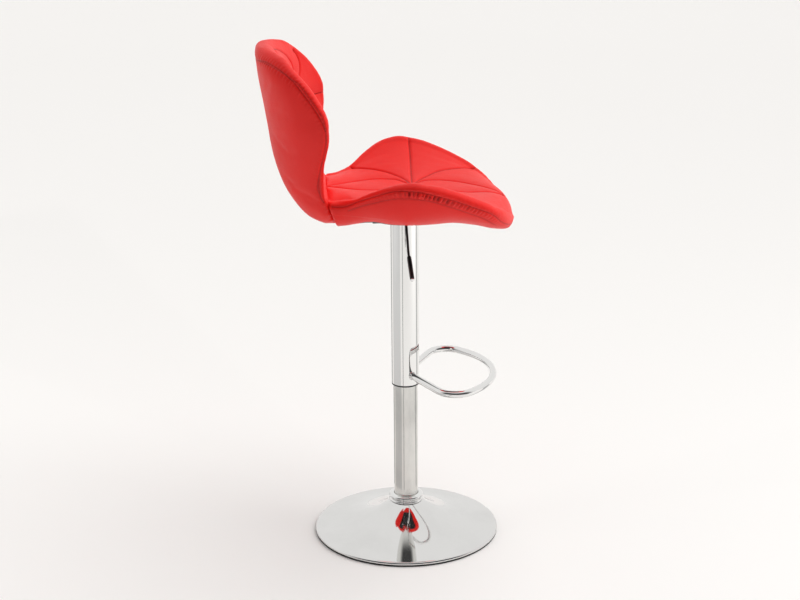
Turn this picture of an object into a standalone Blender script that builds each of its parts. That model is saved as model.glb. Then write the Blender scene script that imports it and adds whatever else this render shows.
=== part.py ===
# Gas-lift bar stool with an upholstered bucket seat, a trumpet base and a fixed footrest ring.
# Metres, +Z up.  The sitter looks along -Y, +X is the sitter's left, the floor is z = 0.
# The stool stands at the top of its height range.
import bpy
import bmesh
from math import sin, cos, tan, pi, radians, sqrt, atan2, hypot, exp
from mathutils import Vector, Matrix

for old in list(bpy.data.objects):
    bpy.data.objects.remove(old, do_unlink=True)

# ------------------------------------------------------------------ driving sizes
COL_Y = -0.0365          # y of the column axis: the back reaches further out than the front
GAP = 0.0003             # gap between touching pieces
BASE_R = 0.1925          # radius of the trumpet base
SHELL_T = 0.0035         # spun steel thickness of the base
NECK_R = 0.0342          # neck radius of the trumpet at the collar
NECK_Z = 0.0650          # top of the trumpet neck
COL_R = 0.0250           # radius of the fixed column tube
COL_WALL = 0.0018
COL_TOP = 0.440          # top of the fixed column tube
COVER_R = 0.0285         # radius of the sliding cover tube
COVER_WALL = 0.0012
COVER_LOW = 0.3290       # lower end of the cover tube at full height
COVER_TOP = 0.6790
CYL_R = 0.0140           # gas cylinder radius
CYL_BORE = 0.0124
CYL_LOW = 0.262
CYL_TOP = 0.6860
ROD_R = 0.0050
PIN_R = 0.0038
RING_Z = 0.3500          # height of the footrest ring
RING_ROD = 0.0074        # radius of the footrest tube
RING_R = 0.1690          # radius of the footrest's front arc
RING_CX = 0.0120         # centre of that arc, forward of the column
PAN_FLANGE_Z = 0.7055    # top face of the seat pan's flanges
PAN_LOW = 0.6805         # underside of the seat pan's trough
PAN_T = 0.0025
LEVER_Y = -0.0300        # lever pivot, to the sitter's right of the column
LEVER_Z = 0.6945
SHEET = 0.0100           # thickness of the moulded seat and back shells
SOFT_GAP = 0.0010


def W(x, y, z):
    """Stool coordinates (forward, left, up from the column axis) to world."""
    return Vector((y, COL_Y - x, z))


# ------------------------------------------------------------------ materials
def material(name, rgb, rough, metal=0.0):
    m = bpy.data.materials.new(name)
    m.use_nodes = True
    b = m.node_tree.nodes["Principled BSDF"]
    b.inputs["Base Color"].default_value = (rgb[0], rgb[1], rgb[2], 1.0)
    b.inputs["Roughness"].default_value = rough
    b.inputs["Metallic"].default_value = metal
    m.diffuse_color = (rgb[0], rgb[1], rgb[2], 1.0)
    return m


CHROME = ("chromed steel", (0.80, 0.80, 0.79), 0.08, 1.0)
STEEL = ("zinc plated steel", (0.62, 0.63, 0.64), 0.35, 1.0)
DARK = ("black painted steel", (0.03, 0.03, 0.032), 0.45, 0.0)
RUBBER = ("black rubber", (0.02, 0.02, 0.02), 0.75, 0.0)
PLASTIC = ("black plastic", (0.025, 0.025, 0.027), 0.45, 0.0)
NYLON = ("white nylon", (0.80, 0.79, 0.74), 0.45, 0.0)
LEATHER = ("red coated fabric", (0.72, 0.035, 0.03), 0.42, 0.0)
PLY = ("plywood", (0.55, 0.38, 0.22), 0.65, 0.0)


def finish(name, bm, mat, origin=None, smooth=False):
    bmesh.ops.remove_doubles(bm, verts=bm.verts, dist=1e-6)
    bmesh.ops.recalc_face_normals(bm, faces=bm.faces)
    me = bpy.data.meshes.new(name)
    if origin is not None:
        bmesh.ops.translate(bm, verts=bm.verts, vec=-Vector(origin))
    bm.to_mesh(me)
    bm.free()
    ob = bpy.data.objects.new(name, me)
    bpy.context.scene.collection.objects.link(ob)
    if origin is not None:
        ob.location = Vector(origin)
    me.materials.append(material(name + " " + mat[0], mat[1], mat[2], mat[3]))
    if smooth:
        for p in me.polygons:
            p.use_smooth = True
    return ob


AXIS = W(0, 0, 0)


# ------------------------------------------------------------------ solid makers
def lathe(name, prof, mat, seg=48, centre=None, hexes=()):
    """Turn a closed profile of (radius, height) about a vertical axis.
    Points whose index is in hexes follow a hexagon instead of a circle."""
    c = centre if centre is not None else AXIS
    bm = bmesh.new()
    rings = []
    for i, (r, z) in enumerate(prof):
        if r < 1e-7:
            rings.append([bm.verts.new((c.x, c.y, z))])
            continue
        ring = []
        for k in range(seg):
            a = 2 * pi * k / seg
            rr = r
            if i in hexes:
                m = (a % (pi / 3)) - pi / 6
                rr = r * cos(pi / 6) / cos(m)
            ring.append(bm.verts.new((c.x + rr * cos(a), c.y + rr * sin(a), z)))
        rings.append(ring)
    n = len(rings)
    for i in range(n):
        a, b = rings[i], rings[(i + 1) % n]
        if len(a) == 1 and len(b) == 1:
            continue
        for k in range(seg):
            k2 = (k + 1) % seg
            if len(a) == 1:
                bm.faces.new((a[0], b[k], b[k2]))
            elif len(b) == 1:
                bm.faces.new((a[k], b[0], a[k2]))
            else:
                bm.faces.new((a[k], b[k], b[k2], a[k2]))
    return finish(name, bm, mat, origin=c)


def washer(name, ri, ro, z0, z1, mat, seg=32, centre=None, chamfer=0.0):
    if chamfer > 0:
        prof = [(ri, z0), (ro - chamfer, z0), (ro, z0 + chamfer), (ro, z1 - chamfer),
                (ro - chamfer, z1), (ri, z1)]
    else:
        prof = [(ri, z0), (ro, z0), (ro, z1), (ri, z1)]
    return lathe(name, prof, mat, seg, centre)


def sweep(bm, path, r, seg=14, radii=None):
    """Round bar along a path of world points, with flat ends."""
    rings = []
    n = len(path)
    up = Vector((0, 0, 1))
    prev = None
    for i, p in enumerate(path):
        if i == 0:
            t = (path[1] - path[0]).normalized()
        elif i == n - 1:
            t = (path[-1] - path[-2]).normalized()
        else:
            t = ((path[i + 1] - p).normalized() + (p - path[i - 1]).normalized()).normalized()
        if prev is None:
            ref = up if abs(t.dot(up)) < 0.9 else Vector((1, 0, 0))
            s = t.cross(ref).normalized()
        else:
            s = (prev - t * prev.dot(t)).normalized()
        prev = s
        q = t.cross(s).normalized()
        rr = radii[i] if radii else r
        rings.append([bm.verts.new(p + s * (rr * cos(2 * pi * k / seg)) + q * (rr * sin(2 * pi * k / seg)))
                      for k in range(seg)])
    for a, b in zip(rings[:-1], rings[1:]):
        for k in range(seg):
            bm.faces.new((a[k], a[(k + 1) % seg], b[(k + 1) % seg], b[k]))
    bm.faces.new(list(reversed(rings[0])))
    bm.faces.new(rings[-1])


def box_bm(bm, x0, x1, y0, y1, z0, z1):
    vs = [bm.verts.new(W(x, y, z)) for x in (x0, x1) for y in (y0, y1) for z in (z0, z1)]
    for f in ((0, 1, 3, 2), (4, 6, 7, 5), (0, 4, 5, 1), (2, 3, 7, 6), (0, 2, 6, 4), (1, 5, 7, 3)):
        bm.faces.new([vs[i] for i in f])


def cutter_cyl(name, x, y, z0, z1, r, seg=20):
    bm = bmesh.new()
    lo = [bm.verts.new(W(x + r * cos(2 * pi * k / seg), y + r * sin(2 * pi * k / seg), z0)) for k in range(seg)]
    hi = [bm.verts.new(W(x + r * cos(2 * pi * k / seg), y + r * sin(2 * pi * k / seg), z1)) for k in range(seg)]
    for k in range(seg):
        bm.faces.new((lo[k], lo[(k + 1) % seg], hi[(k + 1) % seg], hi[k]))
    bm.faces.new(list(reversed(lo)))
    bm.faces.new(hi)
    bmesh.ops.recalc_face_normals(bm, faces=bm.faces)
    me = bpy.data.meshes.new(name)
    bm.to_mesh(me)
    bm.free()
    ob = bpy.data.objects.new(name, me)
    bpy.context.scene.collection.objects.link(ob)
    return ob


def cutter_bar(name, p0, p1, r, seg=18):
    bm = bmesh.new()
    sweep(bm, [p0, p1], r, seg)
    bmesh.ops.recalc_face_normals(bm, faces=bm.faces)
    me = bpy.data.meshes.new(name)
    bm.to_mesh(me)
    bm.free()
    ob = bpy.data.objects.new(name, me)
    bpy.context.scene.collection.objects.link(ob)
    return ob


def cutter_box(name, *lims):
    bm = bmesh.new()
    box_bm(bm, *lims)
    bmesh.ops.recalc_face_normals(bm, faces=bm.faces)
    me = bpy.data.meshes.new(name)
    bm.to_mesh(me)
    bm.free()
    ob = bpy.data.objects.new(name, me)
    bpy.context.scene.collection.objects.link(ob)
    return ob


def cut(ob, cutters, op="DIFFERENCE"):
    """Apply boolean operations at once and remove the cutters."""
    for c in cutters:
        m = ob.modifiers.new("cut", "BOOLEAN")
        m.operation = op
        m.solver = "EXACT"
        m.object = c
    deps = bpy.context.evaluated_depsgraph_get()
    deps.update()
    me = bpy.data.meshes.new_from_object(ob.evaluated_get(deps))
    mats = [m for m in ob.data.materials]
    ob.modifiers.clear()
    ob.data = me
    me.materials.clear()
    for m in mats:
        me.materials.append(m)
    for c in cutters:
        bpy.data.objects.remove(c, do_unlink=True)
    bm = bmesh.new()
    bm.from_mesh(me)
    bmesh.ops.remove_doubles(bm, verts=bm.verts, dist=2e-6)
    bmesh.ops.dissolve_degenerate(bm, edges=bm.edges, dist=2e-6)
    bm.to_mesh(me)
    bm.free()
    return ob


def bar(name, path, r, mat, seg=14, origin=None, radii=None):
    bm = bmesh.new()
    sweep(bm, path, r, seg, radii)
    return finish(name, bm, mat, origin=origin)


def box(name, x0, x1, y0, y1, z0, z1, mat, origin=None):
    bm = bmesh.new()
    box_bm(bm, x0, x1, y0, y1, z0, z1)
    return finish(name, bm, mat, origin=origin)


# ------------------------------------------------------------------ base
def flare_slope(r):
    """Steepness of the base's upper skin at radius r: a wide cone below the collar that runs out into the dish."""
    return exp(-(r - NECK_R) / 0.070)


def flare_drop(r):
    """Fall of the skin from radius r to the rolled edge, by adding up its slope."""
    a, b, n = max(r, NECK_R), BASE_R - 0.004, 60
    if a >= b:
        return 0.0
    h = (b - a) / n
    return h * sum(flare_slope(a + h * (k + 0.5)) for k in range(n))


FLARE_ALL = flare_drop(NECK_R)


def trumpet_z(r):
    """Height of the base's upper skin at radius r."""
    return 0.0095 + (NECK_Z - 0.0095) * flare_drop(r) / FLARE_ALL


def base_profile():
    n = 15
    top = []
    for i in range(n + 1):
        u = i / n
        r = NECK_R + (BASE_R - 0.004 - NECK_R) * (u ** 1.35)
        top.append((r, trumpet_z(r)))
    z_n = top[0][1]
    out = [(r, z) for r, z in top]
    # rolled outer edge
    ze = out[-1][1]
    for k in range(1, 4):
        a = pi / 2 * k / 3
        out.append((BASE_R - 0.004 + 0.004 * sin(a), ze - 0.004 + 0.004 * cos(a) - 0.0006 * k / 3))
    out.append((BASE_R, 0.0034))
    out.append((BASE_R - SHELL_T, 0.0034))
    # inner skin, the outer one moved inwards along its normal
    inner = []
    for i in range(len(top) - 1, -1, -1):
        a = top[max(0, i - 1)]
        b = top[min(len(top) - 1, i + 1)]
        dx, dz = b[0] - a[0], b[1] - a[1]
        L = hypot(dx, dz)
        nx, nz = dz / L, -dx / L
        inner.append((top[i][0] + nx * SHELL_T, top[i][1] + nz * SHELL_T))
    inner = [p for p in inner if p[0] > 0.0306 and p[0] < BASE_R - SHELL_T - 0.001]
    last = inner[-1]
    if last[0] > 0.0307:
        inner.append((0.0306, z_n - 0.004))
    inner.append((0.0306, z_n))
    return out + inner


lathe("base_shell", base_profile(), CHROME, seg=56)
lathe("base_floor_ring", [(BASE_R - 0.0085, 0.0), (BASE_R - 0.0010, 0.0), (BASE_R - 0.0004, 0.0006),
                          (BASE_R - 0.0004, 0.0031), (BASE_R - 0.0085, 0.0031)], RUBBER, seg=56)
lathe("base_hub", [(COL_R + GAP, 0.0180), (0.0302, 0.0180), (0.0302, NECK_Z - 0.0007), (COL_R + GAP, NECK_Z - 0.0007)], DARK, seg=48)
zc = trumpet_z(NECK_R)
col = []
for k in range(0, 7):
    a = -pi / 2 + pi * k / 6
    col.append((0.0312 + 0.0048 * cos(a), zc + 0.0090 + 0.0086 * sin(a)))
lathe("base_collar", [(COL_R + GAP, zc + GAP)] + [(r, max(z, zc + GAP)) for r, z in col] + [(COL_R + GAP, zc + 0.0176)],
      CHROME, seg=40)
lathe("column_tube", [(COL_R - COL_WALL, 0.0140), (COL_R, 0.0140), (COL_R, COL_TOP - 0.0008),
                      (COL_R - 0.0008, COL_TOP), (COL_R - COL_WALL, COL_TOP)], CHROME, seg=48)
lathe("column_end_plate", [(ROD_R + 0.0005, 0.0175), (COL_R - COL_WALL - GAP, 0.0175),
                           (COL_R - COL_WALL - GAP, 0.0215), (ROD_R + 0.0005, 0.0215)], STEEL, seg=40)
lathe("column_guide_bush", [(CYL_R + GAP, 0.3700), (COL_R - COL_WALL - GAP, 0.3700),
                            (COL_R - COL_WALL - GAP, COL_TOP + GAP), (COL_R - 0.0004, COL_TOP + GAP),
                            (COL_R - 0.0004, COL_TOP + 0.0030), (CYL_R + GAP, COL_TOP + 0.0030)], NYLON, seg=40)
washer("bearing_lower_washer", ROD_R + 0.0004, 0.0140, 0.0218, 0.0233, STEEL)

# ball cage: a flat ring with round lobes for the balls
cage_seg = 40
bm = bmesh.new()
loops = []
for r0, z0, lobe in ((0.0070, 0.0245, 0), (0.0126, 0.0245, 0), (0.0126, 0.0265, 0), (0.0070, 0.0265, 0)):
    ring = []
    for k in range(cage_seg):
        a = 2 * pi * k / cage_seg
        w = 0.0006 * cos(10 * a)
        dz = 0.0
        ring.append(bm.verts.new((AXIS.x + (r0 + (w if r0 > 0.01 else -w)) * cos(a),
                                  AXIS.y + (r0 + (w if r0 > 0.01 else -w)) * sin(a), z0 + dz)))
    loops.append(ring)
for i in range(4):
    a, b = loops[i], loops[(i + 1) % 4]
    for k in range(cage_seg):
        bm.faces.new((a[k], b[k], b[(k + 1) % cage_seg], a[(k + 1) % cage_seg]))
finish("bearing_ball_cage", bm, STEEL, origin=AXIS)

# ------------------------------------------------------------------ piston rod set: stands in the column and turns
washer("bearing_upper_washer", ROD_R + GAP, 0.0140, 0.0272, 0.0287, STEEL)
washer("rubber_buffer", ROD_R + GAP, 0.0150, 0.0290, 0.0440, RUBBER, chamfer=0.0015)
lathe("piston_rod", [(0, 0.0095), (ROD_R - 0.0008, 0.0095), (ROD_R, 0.0103), (ROD_R, 0.0125), (0.0040, 0.0125),
                     (0.0040, 0.0141), (ROD_R, 0.0141), (ROD_R, 0.2862), (0, 0.2862)], STEEL, seg=24)
washer("rod_clip", 0.0043, 0.0085, 0.0128, 0.0138, STEEL, seg=24)
lathe("piston", [(0, 0.2865), (CYL_BORE - 0.0006, 0.2865), (CYL_BORE - GAP, 0.2873), (CYL_BORE - GAP, 0.2930),
                 (CYL_BORE - 0.0016, 0.2935), (CYL_BORE - 0.0016, 0.2965), (CYL_BORE - GAP, 0.2970),
                 (CYL_BORE - GAP, 0.3010), (0, 0.3010)], STEEL, seg=32)

# ------------------------------------------------------------------ lift: gas cylinder, cover tube and footrest
lathe("gas_cylinder", [(CYL_BORE, CYL_LOW), (CYL_R, CYL_LOW), (CYL_R, 0.6450), (0.0131, CYL_TOP - 0.001),
                       (0.0121, CYL_TOP), (PIN_R + GAP, CYL_TOP), (PIN_R + GAP, 0.6620), (CYL_BORE, 0.6560)],
      DARK, seg=40)
lathe("cylinder_end_guide", [(ROD_R + GAP, CYL_LOW), (CYL_BORE - GAP, CYL_LOW), (CYL_BORE - GAP, 0.2855),
                             (ROD_R + GAP, 0.2855)], NYLON, seg=32)
lathe("cover_tube", [(COVER_R - COVER_WALL, COVER_LOW), (COVER_R, COVER_LOW), (COVER_R, COVER_TOP),
                     (COVER_R - COVER_WALL, COVER_TOP)], CHROME, seg=48)
ring_in = COL_R + 0.0004
lathe("cover_guide_ring", [(ring_in, COVER_LOW - 0.0032), (COVER_R - 0.0002, COVER_LOW - 0.0032),
                           (COVER_R - 0.0002, COVER_LOW - GAP), (COVER_R - COVER_WALL - GAP, COVER_LOW - GAP),
                           (COVER_R - COVER_WALL - GAP, COVER_LOW + 0.0220), (ring_in, COVER_LOW + 0.0220)],
      PLASTIC, seg=48)
lathe("cover_top_cap", [(0.0185, COVER_TOP - 0.0160), (COVER_R - COVER_WALL - GAP, COVER_TOP - 0.0160),
                        (COVER_R - COVER_WALL - GAP, COVER_TOP - 0.0003), (0.0185, COVER_TOP - 0.0003)],
      PLASTIC, seg=40)


def footrest_path():
    """Half of the footrest's centre line in plan: a straight leg off the tube, a corner, then the front arc."""
    lx, ly = 0.0135, 0.0262
    ang = radians(63.5)
    dx, dy = cos(ang), sin(ang)
    rc = 0.040
    nx, ny = dy, -dx
    # corner circle: distance rc from the leg line and RING_R - rc from the arc's centre
    lo, hi = 0.0, 0.2
    for _ in range(60):
        t = 0.5 * (lo + hi)
        cx = lx + dx * t + nx * rc
        cy = ly + dy * t + ny * rc
        if hypot(cx - RING_CX, cy) < RING_R - rc:
            lo = t
        else:
            hi = t
    t1 = lo
    cx, cy = lx + dx * t1 + nx * rc, ly + dy * t1 + ny * rc
    pts = [(lx + dx * t1 * k / 4, ly + dy * t1 * k / 4) for k in range(4)]
    a0 = atan2(-ny, -nx)
    a1 = atan2(cy, cx - RING_CX)
    for k in range(0, 9):
        a = a0 + (a1 - a0) * k / 8
        pts.append((cx + rc * cos(a), cy + rc * sin(a)))
    for k in range(1, 11):
        a = a1 * (1 - k / 10)
        pts.append((RING_CX + RING_R * cos(a), RING_R * sin(a)))
    return pts


half = footrest_path()
plan = half + [(x, -y) for x, y in reversed(half[:-1])]
foot = bar("footrest_ring", [W(x, y, RING_Z) for x, y in plan], RING_ROD, CHROME, seg=16, origin=AXIS + Vector((0, 0, RING_Z)))
cut(foot, [cutter_cyl("c", 0, 0, RING_Z - 0.03, RING_Z + 0.03, COVER_R + GAP, seg=48)])

# ------------------------------------------------------------------ seat pan and lever
lathe("seat_hub", [(CYL_R + GAP, 0.6570), (0.0176, 0.6570), (0.0176, PAN_LOW - GAP), (0.0136, PAN_LOW - GAP)], DARK, seg=36)

TX, TY = 0.058, 0.040     # half length and half width of the trough
bm = bmesh.new()
zt, zl = PAN_FLANGE_Z, PAN_LOW
outer = [(-0.070, zt - PAN_T), (-TY - 0.004, zt - PAN_T), (-TY, zl), (TY, zl), (TY + 0.004, zt - PAN_T), (0.070, zt - PAN_T)]
inner = [(0.070, zt), (TY + 0.004 - PAN_T, zt), (TY - PAN_T, zl + PAN_T), (-TY + PAN_T, zl + PAN_T),
         (-TY - 0.004 + PAN_T, zt), (-0.070, zt)]
prof = outer + inner
a = [bm.verts.new(W(-0.066, y, z)) for y, z in prof]
b = [bm.verts.new(W(0.070, y, z)) for y, z in prof]
for k in range(len(prof)):
    k2 = (k + 1) % len(prof)
    bm.faces.new((a[k], a[k2], b[k2], b[k]))
for lo_, sign in ((a, 1), (b, -1)):
    o = lo_[:6]
    i = lo_[6:][::-1]
    for k in range(5):
        q = [o[k], o[k + 1], i[k + 1], i[k]]
        bm.faces.new(q if sign > 0 else q[::-1])
pan = finish("seat_pan", bm, DARK, origin=W(0, 0, PAN_LOW))
BOLTS = [(-0.056, -0.057), (-0.056, 0.057), (0.056, -0.057), (0.056, 0.057)]
cutters = [cutter_cyl("c%d" % i, x, y, zt - 0.01, zt + 0.01, 0.0036) for i, (x, y) in enumerate(BOLTS)]
cutters.append(cutter_cyl("cc", 0, 0, zl - 0.01, zl + 0.01, 0.0138, seg=32))
cutters.append(cutter_box("cs", -0.0075, 0.0075, -0.060, -0.030, 0.6835, 0.7040))
cut(pan, cutters)

for i, (x, y) in enumerate(BOLTS):
    c = W(x, y, 0)
    zf = zt - PAN_T
    washer("seat_washer_%d" % (i + 1), 0.0034, 0.0080, zf - GAP - 0.0014, zf - GAP, STEEL, seg=18, centre=c)
    zh = zf - GAP - 0.0014 - GAP
    lathe("seat_bolt_%d" % (i + 1), [(0, zh - 0.0042), (0.0056, zh - 0.0042), (0.0056, zh), (0.0030, zh),
                                     (0.0030, zt + 0.0130), (0.0024, zt + 0.0136), (0, zt + 0.0136)], STEEL, seg=18,
          centre=c, hexes=(1, 2))
    lathe("tee_nut_%d" % (i + 1), [(0.0032, zt + GAP + 0.0020), (0.0046, zt + GAP + 0.0020), (0.0046, zt + 0.0122),
                                   (0.0095, zt + 0.0122), (0.0095, zt + 0.0134), (0.0032, zt + 0.0134)], STEEL,
          seg=16, centre=c)

# lever bracket: two ears on a foot inside the trough
zb = zl + PAN_T + GAP
bm = bmesh.new()
box_bm(bm, -0.0130, 0.0130, LEVER_Y - 0.0045, LEVER_Y + 0.0060, zb, zb + 0.0015)
br = finish("lever_bracket", bm, STEEL, origin=W(0, LEVER_Y, zb))
ears = [cutter_box("e1", -0.0130, -0.0110, LEVER_Y - 0.0045, LEVER_Y + 0.0060, zb, LEVER_Z + 0.0055),
        cutter_box("e2", 0.0110, 0.0130, LEVER_Y - 0.0045, LEVER_Y + 0.0060, zb, LEVER_Z + 0.0055)]
cut(br, ears, "UNION")
cut(br, [cutter_bar("h", W(-0.02, LEVER_Y, LEVER_Z), W(0.02, LEVER_Y, LEVER_Z), 0.0024)])
bar("lever_pivot_pin", [W(-0.0155, LEVER_Y, LEVER_Z), W(0.0155, LEVER_Y, LEVER_Z)], 0.0021, STEEL, seg=18,
    origin=W(0, LEVER_Y, LEVER_Z))

# lever: eye on the pin, short arm over the valve pin, long rod bent down and out
LEV = [(0.0000, -0.0330, 0.6935), (0.0000, -0.0470, 0.6905), (-0.0006, -0.0560, 0.6850), (0.0000, -0.0640, 0.6700),
       (0.0010, -0.0740, 0.6490), (0.0015, -0.0805, 0.6350), (0.0018, -0.0850, 0.6290), (0.0022, -0.0910, 0.6255),
       (0.0042, -0.1480, 0.5960)]
lev_path = [W(*p) for p in LEV]
lever = bar("lever_rod", lev_path, 0.0026, CHROME, seg=14, origin=W(0, LEVER_Y, LEVER_Z))
eye = cutter_bar("eye", W(-0.0085, LEVER_Y, LEVER_Z), W(0.0085, LEVER_Y, LEVER_Z), 0.0052, seg=24)
arm = cutter_box("arm", -0.0050, 0.0050, LEVER_Y - 0.006, 0.0050, LEVER_Z + 0.0006, LEVER_Z + 0.0030)
cut(lever, [eye, arm], "UNION")
cut(lever, [cutter_bar("h", W(-0.02, LEVER_Y, LEVER_Z), W(0.02, LEVER_Y, LEVER_Z), 0.0024)])
g0, g1 = Vector(W(*LEV[-2])), Vector(W(*LEV[-1]))
gd = (g1 - g0).normalized()
gs = g0 + gd * 0.0010
ge = g1 + gd * 0.0040
grip = bar("lever_grip", [gs, gs + gd * 0.002, ge - gd * 0.003, ge], 0.0046, PLASTIC, seg=18,
           origin=W(0, LEVER_Y, LEVER_Z), radii=[0.0040, 0.0046, 0.0046, 0.0036])
cut(grip, [cutter_bar("h", gs - gd * 0.004, g1 + gd * 0.0003, 0.0029)])

# valve pin in the cylinder's top
lathe("release_pin", [(0, 0.6640), (PIN_R, 0.6640), (PIN_R, 0.6940), (PIN_R - 0.0006, 0.6946), (0, 0.6946)], STEEL,
      seg=20)


# ------------------------------------------------------------------ seat and back: two moulded shells with pads
def lerp_table(rows, s):
    """Smooth interpolation (Catmull-Rom) of rows of equal length at parameter s in [0, len-1]."""
    n = len(rows)
    i = min(max(int(s), 0), n - 2)
    t = s - i
    p0, p1 = rows[max(i - 1, 0)], rows[i]
    p2, p3 = rows[i + 1], rows[min(i + 2, n - 1)]
    out = []
    for a, b, c, d in zip(p0, p1, p2, p3):
        m1 = 0.5 * (c - a)
        m2 = 0.5 * (d - b)
        out.append((2 * t ** 3 - 3 * t ** 2 + 1) * b + (t ** 3 - 2 * t ** 2 + t) * m1
                   + (-2 * t ** 3 + 3 * t ** 2) * c + (t ** 3 - t ** 2) * m2)
    return out


# Each station holds: outer centre (x, z), rim (x, z, half width), inner centre (x, z), rim thickness.
SEAT = [
    (-0.1360, 0.6830, -0.1550, 0.7480, 0.1300, -0.1590, 0.7510, 0.030),
    (-0.1180, 0.6890, -0.1300, 0.7500, 0.1370, -0.1370, 0.7515, 0.030),
    (-0.0950, 0.6985, -0.0980, 0.7620, 0.1600, -0.1050, 0.7510, 0.032),
    (-0.0700, 0.7065, -0.0700, 0.7785, 0.1880, -0.0740, 0.7505, 0.034),
    (-0.0350, 0.7062, -0.0350, 0.7960, 0.2130, -0.0370, 0.7500, 0.034),
    (0.0050, 0.7062, 0.0050, 0.8035, 0.2235, 0.0050, 0.7500, 0.034),
    (0.0450, 0.7062, 0.0450, 0.7960, 0.2215, 0.0450, 0.7490, 0.034),
    (0.0850, 0.7062, 0.0850, 0.7820, 0.2130, 0.0850, 0.7460, 0.034),
    (0.1250, 0.6985, 0.1250, 0.7640, 0.2010, 0.1250, 0.7410, 0.034),
    (0.1600, 0.6850, 0.1580, 0.7470, 0.1830, 0.1590, 0.7380, 0.034),
    (0.1850, 0.6770, 0.1790, 0.7320, 0.1560, 0.1850, 0.7320, 0.034),
    (0.2010, 0.6750, 0.1930, 0.7190, 0.1240, 0.2010, 0.7235, 0.032),
    (0.2110, 0.6800, 0.2040, 0.7090, 0.0880, 0.2100, 0.7120, 0.028),
    (0.2160, 0.6890, 0.2110, 0.7010, 0.0520, 0.2145, 0.7020, 0.018),
]
BACK = [
    (-0.1375, 0.6800, -0.1585, 0.7480, 0.1300, -0.1630, 0.7520, 0.030),
    (-0.1640, 0.6860, -0.1605, 0.7580, 0.1340, -0.1700, 0.7590, 0.030),
    (-0.1990, 0.7060, -0.1620, 0.7720, 0.1400, -0.1790, 0.7680, 0.030),
    (-0.2325, 0.7520, -0.1620, 0.7960, 0.1510, -0.1950, 0.7880, 0.030),
    (-0.2545, 0.8120, -0.1600, 0.8300, 0.1710, -0.2075, 0.8230, 0.030),
    (-0.2655, 0.8830, -0.1505, 0.8850, 0.2010, -0.2145, 0.8840, 0.030),
    (-0.2725, 0.9300, -0.1530, 0.9240, 0.2045, -0.2185, 0.9280, 0.030),
    (-0.2795, 0.9700, -0.1760, 0.9670, 0.1900, -0.2225, 0.9680, 0.030),
    (-0.2860, 1.0010, -0.2040, 1.0010, 0.1610, -0.2300, 0.9990, 0.030),
    (-0.2890, 1.0190, -0.2260, 1.0230, 0.1210, -0.2420, 1.0190, 0.028),
    (-0.2880, 1.0300, -0.2480, 1.0340, 0.0780, -0.2540, 1.0305, 0.022),
    (-0.2840, 1.0360, -0.2620, 1.0377, 0.0420, -0.2660, 1.0365, 0.014),
]


def section(row, kind, n_side, n_cap, bowl):
    """Outer, cap and inner points of the right half of one section, as (x, y, z) lists from the centre out."""
    ox, oz, rx, rz, w, ix, iz, th = row
    nx, nz = rx - ox, rz - oz
    L = hypot(nx, nz) or 1.0
    nx, nz = nx / L, nz / L
    ro = (rx - nx * 0.014, rz - nz * 0.014)
    ri = (rx - nx * 0.007, rz - nz * 0.007)
    wi = w - min(th * 0.80, w * 0.62)
    outer, inner = [], []
    for k in range(n_side + 1):
        t = k / n_side
        lat = sin(t * pi / 2) * 0.30 + t * 0.70
        if kind == "seat":
            # flat in the middle for the pan, a slightly lower lip beside it, then a full round side
            f = max(0.0, (lat - 0.50) / 0.50)
            d = min(1.0, max(0.0, (lat - 0.36) / 0.14))
            g = 0.72 * (1 - sqrt(max(0.0, 1 - f * f * 0.97))) / (1 - sqrt(0.03)) + 0.28 * f ** 2
            g -= 0.07 * d * d * (3 - 2 * d) * (1 - f)
        else:
            g = 0.15 * lat ** 2 + 0.85 * lat ** 3.8
        outer.append((ox + (ro[0] - ox) * g, w * lat, oz + (ro[1] - oz) * g))
    for k in range(n_side + 1):
        t = k / n_side
        lat = sin(t * pi / 2) * 0.30 + t * 0.70
        g = (1 - bowl) * lat ** 2 + bowl * lat ** 3.2
        inner.append((ix + (ri[0] - ix) * g, wi * lat, iz + (ri[1] - iz) * g))
    a, b = Vector(outer[-1]), Vector(inner[-1])
    bulge = min(0.0105, 0.30 * th)
    # away from the middle of the section
    mid = (a + b) / 2
    d = (a - b)
    axis_n = Vector((nx, 0, nz))
    out = Vector((nx * 0.85, 0.53, nz * 0.85)).normalized()
    out = (out - d.normalized() * out.dot(d.normalized())).normalized()
    cap = []
    for k in range(1, n_cap):
        q = pi * k / n_cap
        cap.append(mid + d * 0.5 * cos(q) + out * bulge * sin(q))
    return [Vector(p) for p in outer], cap, [Vector(p) for p in inner]


N_SIDE, N_CAP, K_SEAM = 11, 5, 10


def loops_for(table, kind, stations, bowl):
    """Full closed sections: (outer half, cap, inner half) for each station."""
    res = []
    for i in range(stations + 1):
        row = lerp_table(table, (len(table) - 1) * i / stations)
        res.append(section(row, kind, N_SIDE, N_CAP, bowl))
    return res


def toward(p, q, dist):
    d = q - p
    return p + d * (dist / d.length) if d.length > 1e-9 else p.copy()


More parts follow.
